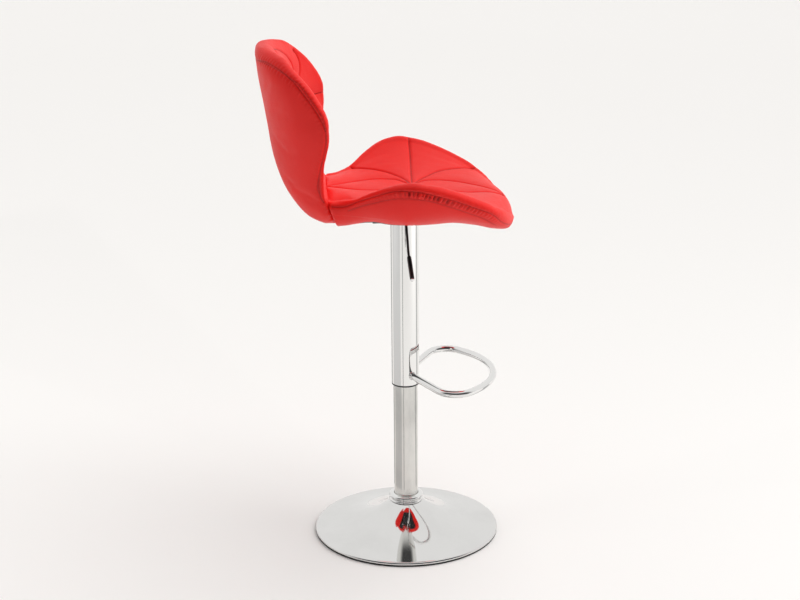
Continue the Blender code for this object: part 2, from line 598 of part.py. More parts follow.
def soft_pair(shell_name, pad_name, table, kind, stations, bowl, mirror_side=1):
    secs = loops_for(table, kind, stations, bowl)
    shell_rings, pad_rings = [], []
    for outer, cap, inner in secs:
        # the shell covers the outer curve up to the seam, the pad everything inside it
        m = len(outer)
        back, lining = [], []
        for k in range(m):
            thick = (inner[k] - outer[k]).length
            t = min(SHEET, 0.36 * thick)
            back.append(toward(outer[k], inner[k], t))
            lining.append(toward(outer[k], inner[k], t + SOFT_GAP))
        sh_half_out = [outer[k] for k in range(0, K_SEAM)]
        sh_half_in = [back[k] for k in range(0, K_SEAM)]
        pad_half_out = [lining[k] for k in range(0, K_SEAM)]
        # step of the pad beside the shell's edge
        e0 = toward(outer[K_SEAM - 1], outer[K_SEAM], SOFT_GAP)
        e1 = toward(lining[K_SEAM - 1], lining[K_SEAM], SOFT_GAP)
        pad_half_out[-1] = e1
        pad_half_out = pad_half_out + [e0] + [outer[k] for k in range(K_SEAM, m)]

        def mir(p):
            return Vector((p.x, -p.y, p.z))
        ring = [mir(p) for p in reversed(sh_half_out[1:])] + sh_half_out
        ring += list(reversed(sh_half_in)) + [mir(p) for p in sh_half_in[1:]]
        shell_rings.append(ring)
        right = pad_half_out + cap + list(reversed(inner))
        left = [mir(p) for p in inner[1:]] + [mir(p) for p in reversed(cap)] + [mir(p) for p in reversed(pad_half_out[1:])]
        pad_rings.append(right + left)
    for nm, rings, mat in ((shell_name, shell_rings, LEATHER), (pad_name, pad_rings, LEATHER)):
        bm = bmesh.new()
        vr = [[bm.verts.new(W(p.x, p.y, p.z)) for p in ring] for ring in rings]
        for i in range(len(vr) - 1):
            a, b = vr[i], vr[i + 1]
            n = len(a)
            for k in range(n):
                k2 = (k + 1) % n
                # the diagonal always runs from the inner point of one section to the outer point of the next,
                # so the shell's and the pad's facing skins fold alike
                if abs(rings[i][k].y) <= abs(rings[i][k2].y):
                    bm.faces.new((a[k], a[k2], b[k2]))
                    bm.faces.new((a[k], b[k2], b[k]))
                else:
                    bm.faces.new((a[k], a[k2], b[k]))
                    bm.faces.new((a[k2], b[k2], b[k]))
        bm.faces.new(list(reversed(vr[0])))
        bm.faces.new(vr[-1])
        bmesh.ops.triangulate(bm, faces=[f for f in bm.faces if len(f.verts) > 4])
        finish(nm, bm, mat, origin=W(0, 0, 0.70))


soft_pair("seat_shell", "seat_cushion", SEAT, "seat", 21, 0.35)
soft_pair("back_shell", "backrest_cushion", BACK, "back", 18, 0.45)

# holes for the tee nuts in the seat shell, and pockets for their flanges in the pad
seat_shell = bpy.data.objects["seat_shell"]
cut(seat_shell, [cutter_cyl("t%d" % i, x, y, zt - 0.01, zt + 0.03, 0.0050) for i, (x, y) in enumerate(BOLTS)])
seat_pad = bpy.data.objects["seat_cushion"]
cut(seat_pad, [cutter_cyl("t%d" % i, x, y, zt + 0.006, zt + 0.0165, 0.0102) for i, (x, y) in enumerate(BOLTS)])
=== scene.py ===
"""Red quilted bar stool with a gas lift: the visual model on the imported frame."""
import bpy, bmesh
import numpy as np
from math import pi, sin, cos, sqrt, hypot, atan2, radians, exp
from mathutils import Vector, Matrix
from mathutils.bvhtree import BVHTree
from mathutils.kdtree import KDTree
from mathutils import noise


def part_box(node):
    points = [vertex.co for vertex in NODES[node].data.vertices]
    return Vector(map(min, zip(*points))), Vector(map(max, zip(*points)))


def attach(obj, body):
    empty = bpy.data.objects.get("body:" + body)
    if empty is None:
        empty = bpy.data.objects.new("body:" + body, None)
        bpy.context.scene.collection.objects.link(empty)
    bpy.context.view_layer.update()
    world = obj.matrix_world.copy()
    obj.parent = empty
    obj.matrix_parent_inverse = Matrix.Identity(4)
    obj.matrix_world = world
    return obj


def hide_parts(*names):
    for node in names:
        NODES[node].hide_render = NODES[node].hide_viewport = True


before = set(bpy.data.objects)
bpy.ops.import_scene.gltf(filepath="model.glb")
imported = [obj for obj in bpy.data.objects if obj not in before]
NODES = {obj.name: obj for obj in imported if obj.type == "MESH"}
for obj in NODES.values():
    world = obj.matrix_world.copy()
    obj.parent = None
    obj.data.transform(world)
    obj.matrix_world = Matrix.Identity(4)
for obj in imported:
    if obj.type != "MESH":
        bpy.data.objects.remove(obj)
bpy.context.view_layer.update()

scene = bpy.context.scene
COL = scene.collection

# ---------------------------------------------------------------- camera
cam_data = bpy.data.cameras.new("camera")
cam = bpy.data.objects.new("camera", cam_data)
COL.objects.link(cam)
cam.matrix_world = Matrix(((-0.069098, 0.301774, -0.950872, -3.391718),
                           (-0.997584, -0.027758, 0.063683, 0.200672),
                           (-0.007176, 0.952975, 0.302963, 1.58746),
                           (0, 0, 0, 1)))
cam_data.sensor_width = 36.0
cam_data.lens = 78.606
cam_data.clip_end = 80.0
scene.camera = cam

# ---------------------------------------------------------------- frame of the seat
AX = (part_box("column_tube")[0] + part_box("column_tube")[1]) / 2 if isinstance(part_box("column_tube")[0], Vector) \
    else (Vector(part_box("column_tube")[0]) + Vector(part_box("column_tube")[1])) / 2
COL_Y = AX.y


def W(x, y, z):
    """x forward, y to the sitter's left, z up, measured from the column, to the row frame."""
    return Vector((y, COL_Y - x, z))


def new_mesh(name, verts, faces, smooth=True):
    me = bpy.data.meshes.new(name)
    me.from_pydata([tuple(v) for v in verts], [], faces)
    me.update()
    ob = bpy.data.objects.new(name, me)
    COL.objects.link(ob)
    if smooth:
        me.polygons.foreach_set("use_smooth", [True] * len(me.polygons))
    return ob


# ---------------------------------------------------------------- materials
def mat_nodes(name):
    m = bpy.data.materials.new(name)
    m.use_nodes = True
    nt = m.node_tree
    for n in list(nt.nodes):
        nt.nodes.remove(n)
    out = nt.nodes.new("ShaderNodeOutputMaterial")
    sh = nt.nodes.new("ShaderNodeBsdfPrincipled")
    nt.links.new(sh.outputs[0], out.inputs[0])
    return m, nt, sh


def node(nt, kind, **kw):
    n = nt.nodes.new(kind)
    for k, v in kw.items():
        if k.startswith("i_"):
            n.inputs[k[2:].replace("_", " ")].default_value = v
        else:
            setattr(n, k, v)
    return n


def ramp(nt, src, stops, interp="LINEAR"):
    r = nt.nodes.new("ShaderNodeValToRGB")
    r.color_ramp.interpolation = interp
    els = r.color_ramp.elements
    while len(els) < len(stops):
        els.new(0.5)
    for e, (p, c) in zip(els, stops):
        e.position = p
        e.color = c if len(c) == 4 else (*c, 1)
    nt.links.new(src, r.inputs[0])
    return r


def mapping(nt, scale, coord="Object"):
    tc = nt.nodes.new("ShaderNodeTexCoord")
    mp = nt.nodes.new("ShaderNodeMapping")
    mp.inputs["Scale"].default_value = scale
    nt.links.new(tc.outputs[coord], mp.inputs[0])
    return mp.outputs[0]


def mixrgb(nt, fac, a, b, blend="MIX"):
    m = nt.nodes.new("ShaderNodeMix")
    m.data_type = "RGBA"
    m.blend_type = blend
    if isinstance(fac, (int, float)):
        m.inputs[0].default_value = fac
    else:
        nt.links.new(fac, m.inputs[0])
    for slot_i, v in ((6, a), (7, b)):
        if isinstance(v, tuple):
            m.inputs[slot_i].default_value = v if len(v) == 4 else (*v, 1)
        else:
            nt.links.new(v, m.inputs[slot_i])
    return m.outputs[2]


def chrome(name, tint=(0.80, 0.80, 0.80), rough=0.045, spread=0.04, streak=(1, 1, 1), smudge_and_painted_reflection=0.12, bump=0.0):
    m, nt, sh = mat_nodes(name)
    vec = mapping(nt, streak)
    n1 = node(nt, "ShaderNodeTexNoise", i_Scale=9.0, i_Detail=5.0, i_Roughness=0.6)
    nt.links.new(vec, n1.inputs["Vector"])
    n2 = node(nt, "ShaderNodeTexNoise", i_Scale=130.0, i_Detail=3.0)
    nt.links.new(vec, n2.inputs["Vector"])
    r1 = ramp(nt, n1.outputs[0], [(0.42, (0, 0, 0)), (0.72, (1, 1, 1))])
    mr = node(nt, "ShaderNodeMapRange")
    nt.links.new(r1.outputs[0], mr.inputs[0])
    mr.inputs[3].default_value = rough
    mr.inputs[4].default_value = rough + spread
    ad = node(nt, "ShaderNodeMath", operation="MULTIPLY_ADD")
    nt.links.new(n2.outputs[0], ad.inputs[0])
    ad.inputs[1].default_value = 0.02
    nt.links.new(mr.outputs[0], ad.inputs[2])
    nt.links.new(ad.outputs[0], sh.inputs["Roughness"])
    # darker patches in the colour: smudges, and on the column, stretched upright, painted reflection streaks
    dark = tuple(c * (1 - smudge_and_painted_reflection) for c in tint)
    col = mixrgb(nt, r1.outputs[0], tint, dark)
    nt.links.new(col, sh.inputs["Base Color"])
    sh.inputs["Metallic"].default_value = 1.0
    if bump:
        b = node(nt, "ShaderNodeBump")
        b.inputs["Strength"].default_value = bump
        b.inputs["Distance"].default_value = 0.0004
        nt.links.new(n1.outputs[0], b.inputs["Height"])
        nt.links.new(b.outputs[0], sh.inputs["Normal"])
    return m


def dull(name, a, b, rough, scale=60.0, metal=0.0, bump=0.15, spread=0.15, grain=900.0):
    m, nt, sh = mat_nodes(name)
    vec = mapping(nt, (1, 1, 1))
    n1 = node(nt, "ShaderNodeTexNoise", i_Scale=scale, i_Detail=4.0)
    nt.links.new(vec, n1.inputs["Vector"])
    n2 = node(nt, "ShaderNodeTexNoise", i_Scale=grain, i_Detail=2.0)
    nt.links.new(vec, n2.inputs["Vector"])
    nt.links.new(mixrgb(nt, n1.outputs[0], a, b), sh.inputs["Base Color"])
    mr = node(nt, "ShaderNodeMapRange")
    nt.links.new(n1.outputs[0], mr.inputs[0])
    mr.inputs[3].default_value = rough
    mr.inputs[4].default_value = rough + spread
    nt.links.new(mr.outputs[0], sh.inputs["Roughness"])
    sh.inputs["Metallic"].default_value = metal
    bp = node(nt, "ShaderNodeBump")
    bp.inputs["Strength"].default_value = bump
    bp.inputs["Distance"].default_value = 0.0003
    nt.links.new(n2.outputs[0], bp.inputs["Height"])
    nt.links.new(bp.outputs[0], sh.inputs["Normal"])
    return m


def leather(name):
    """Coated fabric: fine pebble grain, soft broad colour change, darker seam lines, and painted shade in the valleys
    of the gathers beside the rim seam.
    """
    m, nt, sh = mat_nodes(name)
    vec = mapping(nt, (1, 1, 1))
    vor = node(nt, "ShaderNodeTexVoronoi", feature="DISTANCE_TO_EDGE")
    vor.inputs["Scale"].default_value = 620.0
    nt.links.new(vec, vor.inputs["Vector"])
    warp = node(nt, "ShaderNodeTexNoise", i_Scale=900.0, i_Detail=3.0)
    nt.links.new(vec, warp.inputs["Vector"])
    broad = node(nt, "ShaderNodeTexNoise", i_Scale=7.0, i_Detail=4.0, i_Roughness=0.55)
    nt.links.new(vec, broad.inputs["Vector"])
    fine = node(nt, "ShaderNodeTexNoise", i_Scale=60.0, i_Detail=4.0)
    nt.links.new(vec, fine.inputs["Vector"])
    g = ramp(nt, vor.outputs["Distance"], [(0.0, (0, 0, 0)), (0.16, (1, 1, 1))])
    h = node(nt, "ShaderNodeMath", operation="MULTIPLY_ADD")
    nt.links.new(warp.outputs[0], h.inputs[0])
    h.inputs[1].default_value = 0.6
    nt.links.new(g.outputs[0], h.inputs[2])
    bp = node(nt, "ShaderNodeBump")
    bp.inputs["Strength"].default_value = 0.16
    bp.inputs["Distance"].default_value = 0.00022
    nt.links.new(h.outputs[0], bp.inputs["Height"])
    bp2 = node(nt, "ShaderNodeBump")
    bp2.inputs["Strength"].default_value = 0.10
    bp2.inputs["Distance"].default_value = 0.002
    nt.links.new(fine.outputs[0], bp2.inputs["Height"])
    nt.links.new(bp.outputs[0], bp2.inputs["Normal"])
    nt.links.new(bp2.outputs[0], sh.inputs["Normal"])
    base = mixrgb(nt, broad.outputs[0], RED_A, RED_B)
    # seam lines darker in the colour, plus painted shade in the valleys of the gathers
    at = node(nt, "ShaderNodeAttribute", attribute_name="seam_and_crease_shade")
    dk = ramp(nt, at.outputs["Fac"], [(0.0, (0, 0, 0)), (1.0, (1, 1, 1))])
    base2 = mixrgb(nt, dk.outputs[0], base, SEAM_AND_CREASE_SHADE)
    cell = mixrgb(nt, g.outputs[0], (0.93, 0.90, 0.90), (1, 1, 1))
    au = node(nt, "ShaderNodeAttribute", attribute_name="under")
    cut_ = ramp(nt, au.outputs["Fac"], [(0.47, (0, 0, 0)), (0.53, (1, 1, 1))])
    cloth_c = mixrgb(nt, fine.outputs[0], (0.010, 0.010, 0.011), (0.026, 0.026, 0.027))
    base2 = mixrgb(nt, cut_.outputs[0], base2, cloth_c)
    nt.links.new(mixrgb(nt, 1.0, base2, cell, "MULTIPLY"), sh.inputs["Base Color"])
    mr = node(nt, "ShaderNodeMapRange")
    nt.links.new(fine.outputs[0], mr.inputs[0])
    mr.inputs[3].default_value = 0.40
    mr.inputs[4].default_value = 0.54
    nt.links.new(mr.outputs[0], sh.inputs["Roughness"])
    sh.inputs["IOR"].default_value = 1.42
    sh.inputs["Specular IOR Level"].default_value = 0.30
    sh.inputs["Coat Weight"].default_value = 0.015
    sh.inputs["Coat Roughness"].default_value = 0.30
    sh.inputs["Sheen Weight"].default_value = 0.01
    sh.inputs["Sheen Roughness"].default_value = 0.5
    return m


RED_A = (0.80, 0.0115, 0.0090)
RED_B = (0.87, 0.0195, 0.0140)
# dark red of the seam lines, also used as painted shade in the valleys of the gathers
SEAM_AND_CREASE_SHADE = (0.28, 0.003, 0.003)

M_LEATHER = leather("red_coated_fabric")
M_CHROME = chrome("chrome_bright", tint=(0.82, 0.82, 0.815), rough=0.03, spread=0.03, smudge_and_painted_reflection=0.05)
M_BASE = chrome("chrome_base", tint=(0.76, 0.76, 0.755), rough=0.035, spread=0.035, smudge_and_painted_reflection=0.06)
# the column's darker upright streaks in its colour are painted reflection streaks
M_COLUMN = chrome("chrome_column", tint=(0.73, 0.725, 0.70), rough=0.08, spread=0.14, streak=(2.4, 2.4, 0.8), smudge_and_painted_reflection=0.24, bump=0.10)
M_COVER = chrome("chrome_cover", tint=(0.85, 0.85, 0.84), rough=0.035, spread=0.03, streak=(1, 1, 0.4), smudge_and_painted_reflection=0.04)
M_ROD = chrome("ground_steel_rod", tint=(0.66, 0.66, 0.66), rough=0.16, spread=0.08, streak=(1, 1, 8), smudge_and_painted_reflection=0.2)
M_ZINC = chrome("zinc_plate", tint=(0.62, 0.64, 0.66), rough=0.28, spread=0.15, smudge_and_painted_reflection=0.3, bump=0.15)
M_DARK = dull("dark_painted_steel", (0.018, 0.018, 0.020), (0.035, 0.035, 0.038), 0.38, 40, 0.0, 0.25)
M_LEVER = chrome("blackened_steel_rod", tint=(0.10, 0.10, 0.105), rough=0.22, spread=0.10, smudge_and_painted_reflection=0.3)
M_RUBBER = dull("black_rubber", (0.012, 0.012, 0.012), (0.028, 0.028, 0.027), 0.62, 90, 0.0, 0.35)
M_BLACK = dull("black_moulded_plastic", (0.010, 0.010, 0.011), (0.022, 0.022, 0.023), 0.30, 120, 0.0, 0.2)
M_NYLON = dull("black_nylon", (0.014, 0.014, 0.014), (0.03, 0.03, 0.03), 0.45, 150, 0.0, 0.2)
M_THREAD = dull("red_thread", (0.55, 0.020, 0.018), (0.66, 0.032, 0.028), 0.55, 400, 0.0, 0.3)
M_BRIGHT = chrome("steel_tip", tint=(0.86, 0.86, 0.86), rough=0.12, spread=0.05, smudge_and_painted_reflection=0.05)


# ---------------------------------------------------------------- CAD nodes: materials of what stays
def paint(name, m):
    o = NODES[name]
    if not o.material_slots:
        raise SystemExit("no slot on " + name)
    for s in o.material_slots:
        s.material = m


def by_slot():
    table = {"zinc": M_ZINC, "dark_steel": M_DARK, "rubber": M_RUBBER, "black_plastic": M_BLACK, "nylon": M_NYLON,
             "chrome": M_CHROME}
    special = {"base_shell": M_BASE, "base_collar": M_CHROME, "column_tube": M_COLUMN, "cover_tube": M_COVER,
               "footrest_ring": M_CHROME, "lever_rod": M_LEVER, "lever_grip": M_BLACK, "piston_rod": M_ROD,
               "gas_cylinder": M_DARK, "base_floor_ring": M_RUBBER, "seat_pan": M_DARK, "seat_hub": M_DARK,
               "rubber_buffer": M_RUBBER, "cover_guide_ring": M_NYLON, "column_guide_bush": M_NYLON,
               "cover_top_cap": M_BLACK, "cylinder_end_guide": M_NYLON, "base_hub": M_DARK}
    for n, o in NODES.items():
        if n in special:
            paint(n, special[n])
            continue
        if n.startswith(("seat_bolt", "seat_washer", "tee_nut", "bearing", "rod_clip", "release_pin", "lever_pivot",
                         "lever_bracket", "column_end_plate", "piston")):
            paint(n, M_ZINC)
            continue
        paint(n, M_DARK)


by_slot()

# ---------------------------------------------------------------- turned chrome parts, finer than the CAD ones
BASE_R, NECK_R, NECK_Z = 0.1925, 0.0310, 0.0650


def lathe(name, prof, seg, mat, body, closed=True):
    verts, faces = [], []
    n = len(prof)
    for k in range(seg):
        a = 2 * pi * k / seg
        c, s = cos(a), sin(a)
        for r, z in prof:
            verts.append((r * c, COL_Y + r * s, z))
    for k in range(seg):
        k2 = (k + 1) % seg
        for i in range(n if closed else n - 1):
            j = (i + 1) % n
            faces.append((k * n + i, k * n + j, k2 * n + j, k2 * n + i))
    ob = new_mesh(name, verts, faces)
    bm = bmesh.new()
    bm.from_mesh(ob.data)
    bmesh.ops.recalc_face_normals(bm, faces=bm.faces)
    for e in bm.edges:
        if len(e.link_faces) == 2 and e.calc_face_angle(0) > radians(38):
            e.smooth = False
    bm.to_mesh(ob.data)
    bm.free()
    ob.data.materials.append(mat)
    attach(ob, body)
    return ob


def arc(cx, cz, r, a0, a1, n):
    return [(cx + r * cos(radians(a0 + (a1 - a0) * i / n)), cz + r * sin(radians(a0 + (a1 - a0) * i / n))) for i in range(n + 1)]


NECK_R, NECK_Z = 0.0342, 0.0650
COL_R, COVER_R, COVER_LOW, COVER_TOP = 0.0250, 0.0285, 0.3290, 0.6790


def flare_slope(r):
    return exp(-(r - NECK_R) / 0.070)


def flare_drop(r):
    a, b, n = max(r, NECK_R), BASE_R - 0.004, 60
    if a >= b:
        return 0.0
    h = (b - a) / n
    return h * sum(flare_slope(a + h * (k + 0.5)) for k in range(n))


FLARE_ALL = flare_drop(NECK_R)


def trumpet_z(r):
    """Height of the base's upper skin at radius r."""
    return 0.0095 + (NECK_Z - 0.0095) * flare_drop(r) / FLARE_ALL


def base_piece():
    top = []
    n = 72
    for i in range(n + 1):
        r = NECK_R + (BASE_R - 0.004 - NECK_R) * ((i / n) ** 1.3)
        top.append((r, trumpet_z(r)))
    ze = top[-1][1]
    edge = [(BASE_R - 0.004 + 0.004 * sin(pi / 2 * k / 8), ze - 0.004 + 0.004 * cos(pi / 2 * k / 8) - 0.0006 * k / 8)
            for k in range(1, 9)]
    low = [(BASE_R, 0.0042), (BASE_R - 0.0006, 0.0034), (BASE_R - 0.0035, 0.0034), (BASE_R - 0.0048, 0.0046)]
    inner = [(r, trumpet_z(r) - 0.0042) for r in (0.180, 0.150, 0.120, 0.090, 0.066, 0.052)]
    inner += [(0.0310, NECK_Z - 0.010), (0.0306, NECK_Z - 0.001), (0.0312, NECK_Z)]
    ob = lathe("trumpet_base", top + edge + low + inner, 192, M_BASE, "base")
    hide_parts("base_shell")
    foot = lathe("base_rubber_edge",
                 [(BASE_R - 0.0085, 0.0004), (BASE_R - 0.0081, 0.0), (BASE_R - 0.0014, 0.0), (BASE_R - 0.0004, 0.0008),
                  (BASE_R - 0.0004, 0.0031), (BASE_R - 0.0085, 0.0031)], 160, M_RUBBER, "base")
    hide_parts("base_floor_ring")
    zc = trumpet_z(NECK_R)
    prof = [(COL_R + 0.0004, zc + 0.0003), (0.0330, zc + 0.0003)]
    prof += arc(0.0322, zc + 0.0036, 0.0034, -78, 78, 10)
    prof += arc(0.0331, zc + 0.0086, 0.0009, 250, 110, 5)
    prof += arc(0.0312, zc + 0.0122, 0.0042, -62, 80, 10)
    prof += [(0.0290, zc + 0.0170), (0.0276, zc + 0.0176), (0.0262, zc + 0.0174), (COL_R + 0.0004, zc + 0.0166)]
    col = lathe("collar_trim", prof, 128, M_CHROME, "base")
    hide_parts("base_collar")
    tube = lathe("column_pipe", [(COL_R - 0.0018, 0.014), (COL_R, 0.014), (COL_R, 0.06), (COL_R, 0.12), (COL_R, 0.2), (COL_R, 0.3),
                                 (COL_R, 0.4392), (COL_R - 0.0002, 0.4397), (COL_R - 0.0008, 0.440), (COL_R - 0.0018, 0.440)],
                 96, M_COLUMN, "base")
    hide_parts("column_tube")


base_piece()


def cover_piece():
    R, T = COVER_R, 0.0012
    ob = lathe("cover_pipe", [(R - T, COVER_LOW + 0.0004), (R - T + 0.0003, COVER_LOW), (R - 0.0004, COVER_LOW), (R, COVER_LOW + 0.0005),
                              (R, 0.36), (R, 0.42), (R, 0.50), (R, 0.60), (R, COVER_TOP - 0.0005), (R - 0.0004, COVER_TOP),
                              (R - T, COVER_TOP)], 96, M_COVER, "lift")
    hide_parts("cover_tube")
    ri = COL_R + 0.0004
    g = lathe("cover_bottom_guide", [(ri, COVER_LOW - 0.0032), (R - 0.0012, COVER_LOW - 0.0032), (R - 0.0004, COVER_LOW - 0.0027),
                                     (R - 0.0004, COVER_LOW - 0.0005), (R - T - 0.0003, COVER_LOW - 0.0003),
                                     (R - T - 0.0003, COVER_LOW + 0.022), (ri, COVER_LOW + 0.022)], 96, M_NYLON, "lift")
    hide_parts("cover_guide_ring")


cover_piece()


# ---------------------------------------------------------------- swept rods
def catmull(pts, per):
    out = []
    n = len(pts)
    for i in range(n - 1):
        p0, p1, p2, p3 = pts[max(i - 1, 0)], pts[i], pts[i + 1], pts[min(i + 2, n - 1)]
        for k in range(per):
            t = k / per
            out.append(0.5 * ((2 * p1) + (p2 - p0) * t + (2 * p0 - 5 * p1 + 4 * p2 - p3) * t * t + (3 * p1 - p0 - 3 * p2 + p3) * t ** 3))
    out.append(pts[-1].copy())
    return out


def sweep(name, path, radii, seg, mat, body, ends=True):
    if not hasattr(radii, "__len__"):
        radii = [radii] * len(path)
    verts, faces = [], []
    t_prev = None
    for i, p in enumerate(path):
        t = (path[min(i + 1, len(path) - 1)] - path[max(i - 1, 0)]).normalized()
        if t_prev is None:
            u = t.orthogonal().normalized()
        else:
            u = (u - t * u.dot(t)).normalized()
        v = t.cross(u)
        t_prev = t
        for k in range(seg):
            a = 2 * pi * k / seg
            verts.append(p + (u * cos(a) + v * sin(a)) * radii[i])
    for i in range(len(path) - 1):
        for k in range(seg):
            k2 = (k + 1) % seg
            faces.append((i * seg + k, i * seg + k2, (i + 1) * seg + k2, (i + 1) * seg + k))
    if ends:
        faces.append(tuple(reversed(range(seg))))
        faces.append(tuple((len(path) - 1) * seg + k for k in range(seg)))
    ob = new_mesh(name, verts, faces)
    bm = bmesh.new()
    bm.from_mesh(ob.data)
    bmesh.ops.recalc_face_normals(bm, faces=bm.faces)
    bm.to_mesh(ob.data)
    bm.free()
    if ends:
        for p in ob.data.polygons:
            if len(p.vertices) > 4:
                p.use_smooth = False
    ob.data.materials.append(mat)
    if body:
        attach(ob, body)
    return ob


# ---------------------------------------------------------------- footrest ring
RING_Z, RING_ROD, RING_R, RING_CX = 0.3500, 0.0074, 0.1690, 0.0120


def footrest_piece():
    lx, ly = 0.0135, 0.0262
    ang = radians(63.5)
    dx, dy = cos(ang), sin(ang)
    rc = 0.040
    nx, ny = dy, -dx
    lo, hi = 0.0, 0.2
    for _ in range(60):
        t = 0.5 * (lo + hi)
        cx = lx + dx * t + nx * rc
        cy = ly + dy * t + ny * rc
        if hypot(cx - RING_CX, cy) < RING_R - rc:
            lo = t
        else:
            hi = t
    t1 = lo
    cx, cy = lx + dx * t1 + nx * rc, ly + dy * t1 + ny * rc
    pts = [(lx + dx * t1 * k / 12, ly + dy * t1 * k / 12) for k in range(12)]
    a0, a1 = atan2(-ny, -nx), atan2(cy, cx - RING_CX)
    for k in range(0, 25):
        a = a0 + (a1 - a0) * k / 24
        pts.append((cx + rc * cos(a), cy + rc * sin(a)))
    for k in range(1, 41):
        a = a1 * (1 - k / 40)
        pts.append((RING_CX + RING_R * cos(a), RING_R * sin(a)))
    full = pts + [(x, -y) for x, y in reversed(pts[:-1])]
    path = [W(x, y, RING_Z) for x, y in full]
    ob = sweep("footrest_hoop", path, RING_ROD, 36, M_CHROME, None)
    # weld beads where the two legs meet the tube: a rippled collar that hugs both
    beads = []
    for sgn in (1, -1):
        p0 = W(lx, sgn * ly, RING_Z)
        d = Vector((sgn * dy, -dx, 0)).normalized()
        u, v = Vector((0, 0, 1)), d.cross(Vector((0, 0, 1)))
        verts, faces = [], []
        nn, mm = 48, 8
        for k in range(nn):
            a = 2 * pi * k / nn
            rad = u * cos(a) + v * sin(a)
            # where this side of the rod reaches the tube's surface
            q = p0 + rad * RING_ROD
            lo_t, hi_t = -0.02, 0.06
            for _ in range(30):
                tt = 0.5 * (lo_t + hi_t)
                pt = q + d * tt
                if hypot(pt.x, pt.y - COL_Y) < COVER_R:
                    lo_t = tt
                else:
                    hi_t = tt
            c = q + d * lo_t
            rr = 0.0013 + 0.0003 * sin(a * 11)
            for j in range(mm):
                b = 2 * pi * j / mm
                verts.append(c + rad * rr * cos(b) + d * rr * sin(b))
        for k in range(nn):
            for j in range(mm):
                faces.append((k * mm + j, ((k + 1) % nn) * mm + j, ((k + 1) % nn) * mm + (j + 1) % mm, k * mm + (j + 1) % mm))
        beads.append(new_mesh("footrest_weld_%s" % ("left" if sgn > 0 else "right"), verts, faces))
    for b in beads:
        bm = bmesh.new()
        bm.from_mesh(b.data)
        bmesh.ops.recalc_face_normals(bm, faces=bm.faces)
        bm.to_mesh(b.data)
        bm.free()
        b.data.materials.append(M_CHROME)
        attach(b, "lift")
    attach(ob, "lift")
    # the leg ends stop at the tube's skin, so nothing shows inside it
    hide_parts("footrest_ring")
    # cut the hoop's ends back to the tube
    bm = bmesh.new()
    bm.from_mesh(ob.data)
    for v_ in bm.verts:
        r = hypot(v_.co.x, v_.co.y - COL_Y)
        if r < COVER_R - 0.0006 and r > 1e-6:
            k = (COVER_R - 0.0006) / r
            v_.co.x *= k
            v_.co.y = COL_Y + (v_.co.y - COL_Y) * k
    bm.to_mesh(ob.data)
    bm.free()


footrest_piece()

# ---------------------------------------------------------------- lever: shaped grip and end cap
LEV = [(0.0000, -0.0330, 0.6935), (0.0000, -0.0470, 0.6905), (-0.0006, -0.0560, 0.6850), (0.0000, -0.0640, 0.6700),
       (0.0010, -0.0740, 0.6490), (0.0015, -0.0805, 0.6350), (0.0018, -0.0850, 0.6290), (0.0022, -0.0910, 0.6255),
       (0.0042, -0.1480, 0.5960)]


def lever_piece():
    g0, g1 = W(*LEV[-2]), W(*LEV[-1])
    gd = (g1 - g0).normalized()
    gs, ge = g0 + gd * 0.0010, g1 + gd * 0.0040
    L = (ge - gs).length
    prof = [(0.0, 0.0031), (0.0006, 0.0037), (0.002, 0.0041), (0.0045, 0.0044), (0.0052, 0.0041), (0.0060, 0.0044), (0.012, 0.0046),
            (0.5 * L, 0.0046), (L - 0.012, 0.0046), (L - 0.006, 0.0045), (L - 0.0035, 0.0043), (L - 0.0030, 0.0038)]
    path = [gs + gd * t for t, _ in prof]
    grip = sweep("lever_handle_sleeve", path, [r for _, r in prof], 36, M_BLACK, "lever")
    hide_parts("lever_grip")
    tip = [(L - 0.0030, 0.0033), (L - 0.0026, 0.0038), (L - 0.0012, 0.0038), (L - 0.0004, 0.0032), (L, 0.0018)]
    t = sweep("lever_end_cap", [gs + gd * a for a, _ in tip], [r for _, r in tip], 32, M_BRIGHT, "lever")
    return t


lever_piece()

# ---------------------------------------------------------------- upholstery
SEAT = [(-0.1375, 0.6850, -0.1575, 0.7480, 0.1300, -0.1610, 0.7510, 0.030), (-0.1180, 0.6890, -0.1300, 0.7500, 0.1370, -0.1370, 0.7515, 0.030),
        (-0.0950, 0.6985, -0.0980, 0.7620, 0.1600, -0.1050, 0.7510, 0.032), (-0.0700, 0.7065, -0.0700, 0.7785, 0.1880, -0.0740, 0.7505, 0.034),
        (-0.0350, 0.7062, -0.0350, 0.7960, 0.2130, -0.0370, 0.7500, 0.034), (0.0050, 0.7062, 0.0050, 0.8035, 0.2235, 0.0050, 0.7500, 0.034),
        (0.0450, 0.7062, 0.0450, 0.7960, 0.2215, 0.0450, 0.7490, 0.034), (0.0850, 0.7062, 0.0850, 0.7820, 0.2130, 0.0850, 0.7460, 0.034),
        (0.1250, 0.6985, 0.1250, 0.7640, 0.2010, 0.1250, 0.7410, 0.034), (0.1600, 0.6850, 0.1580, 0.7470, 0.1830, 0.1590, 0.7380, 0.034),
        (0.1850, 0.6770, 0.1790, 0.7320, 0.1560, 0.1850, 0.7320, 0.034), (0.2010, 0.6750, 0.1930, 0.7190, 0.1240, 0.2010, 0.7235, 0.032),
        (0.2110, 0.6800, 0.2040, 0.7090, 0.0880, 0.2100, 0.7120, 0.028), (0.2160, 0.6890, 0.2110, 0.7010, 0.0520, 0.2145, 0.7020, 0.018)]
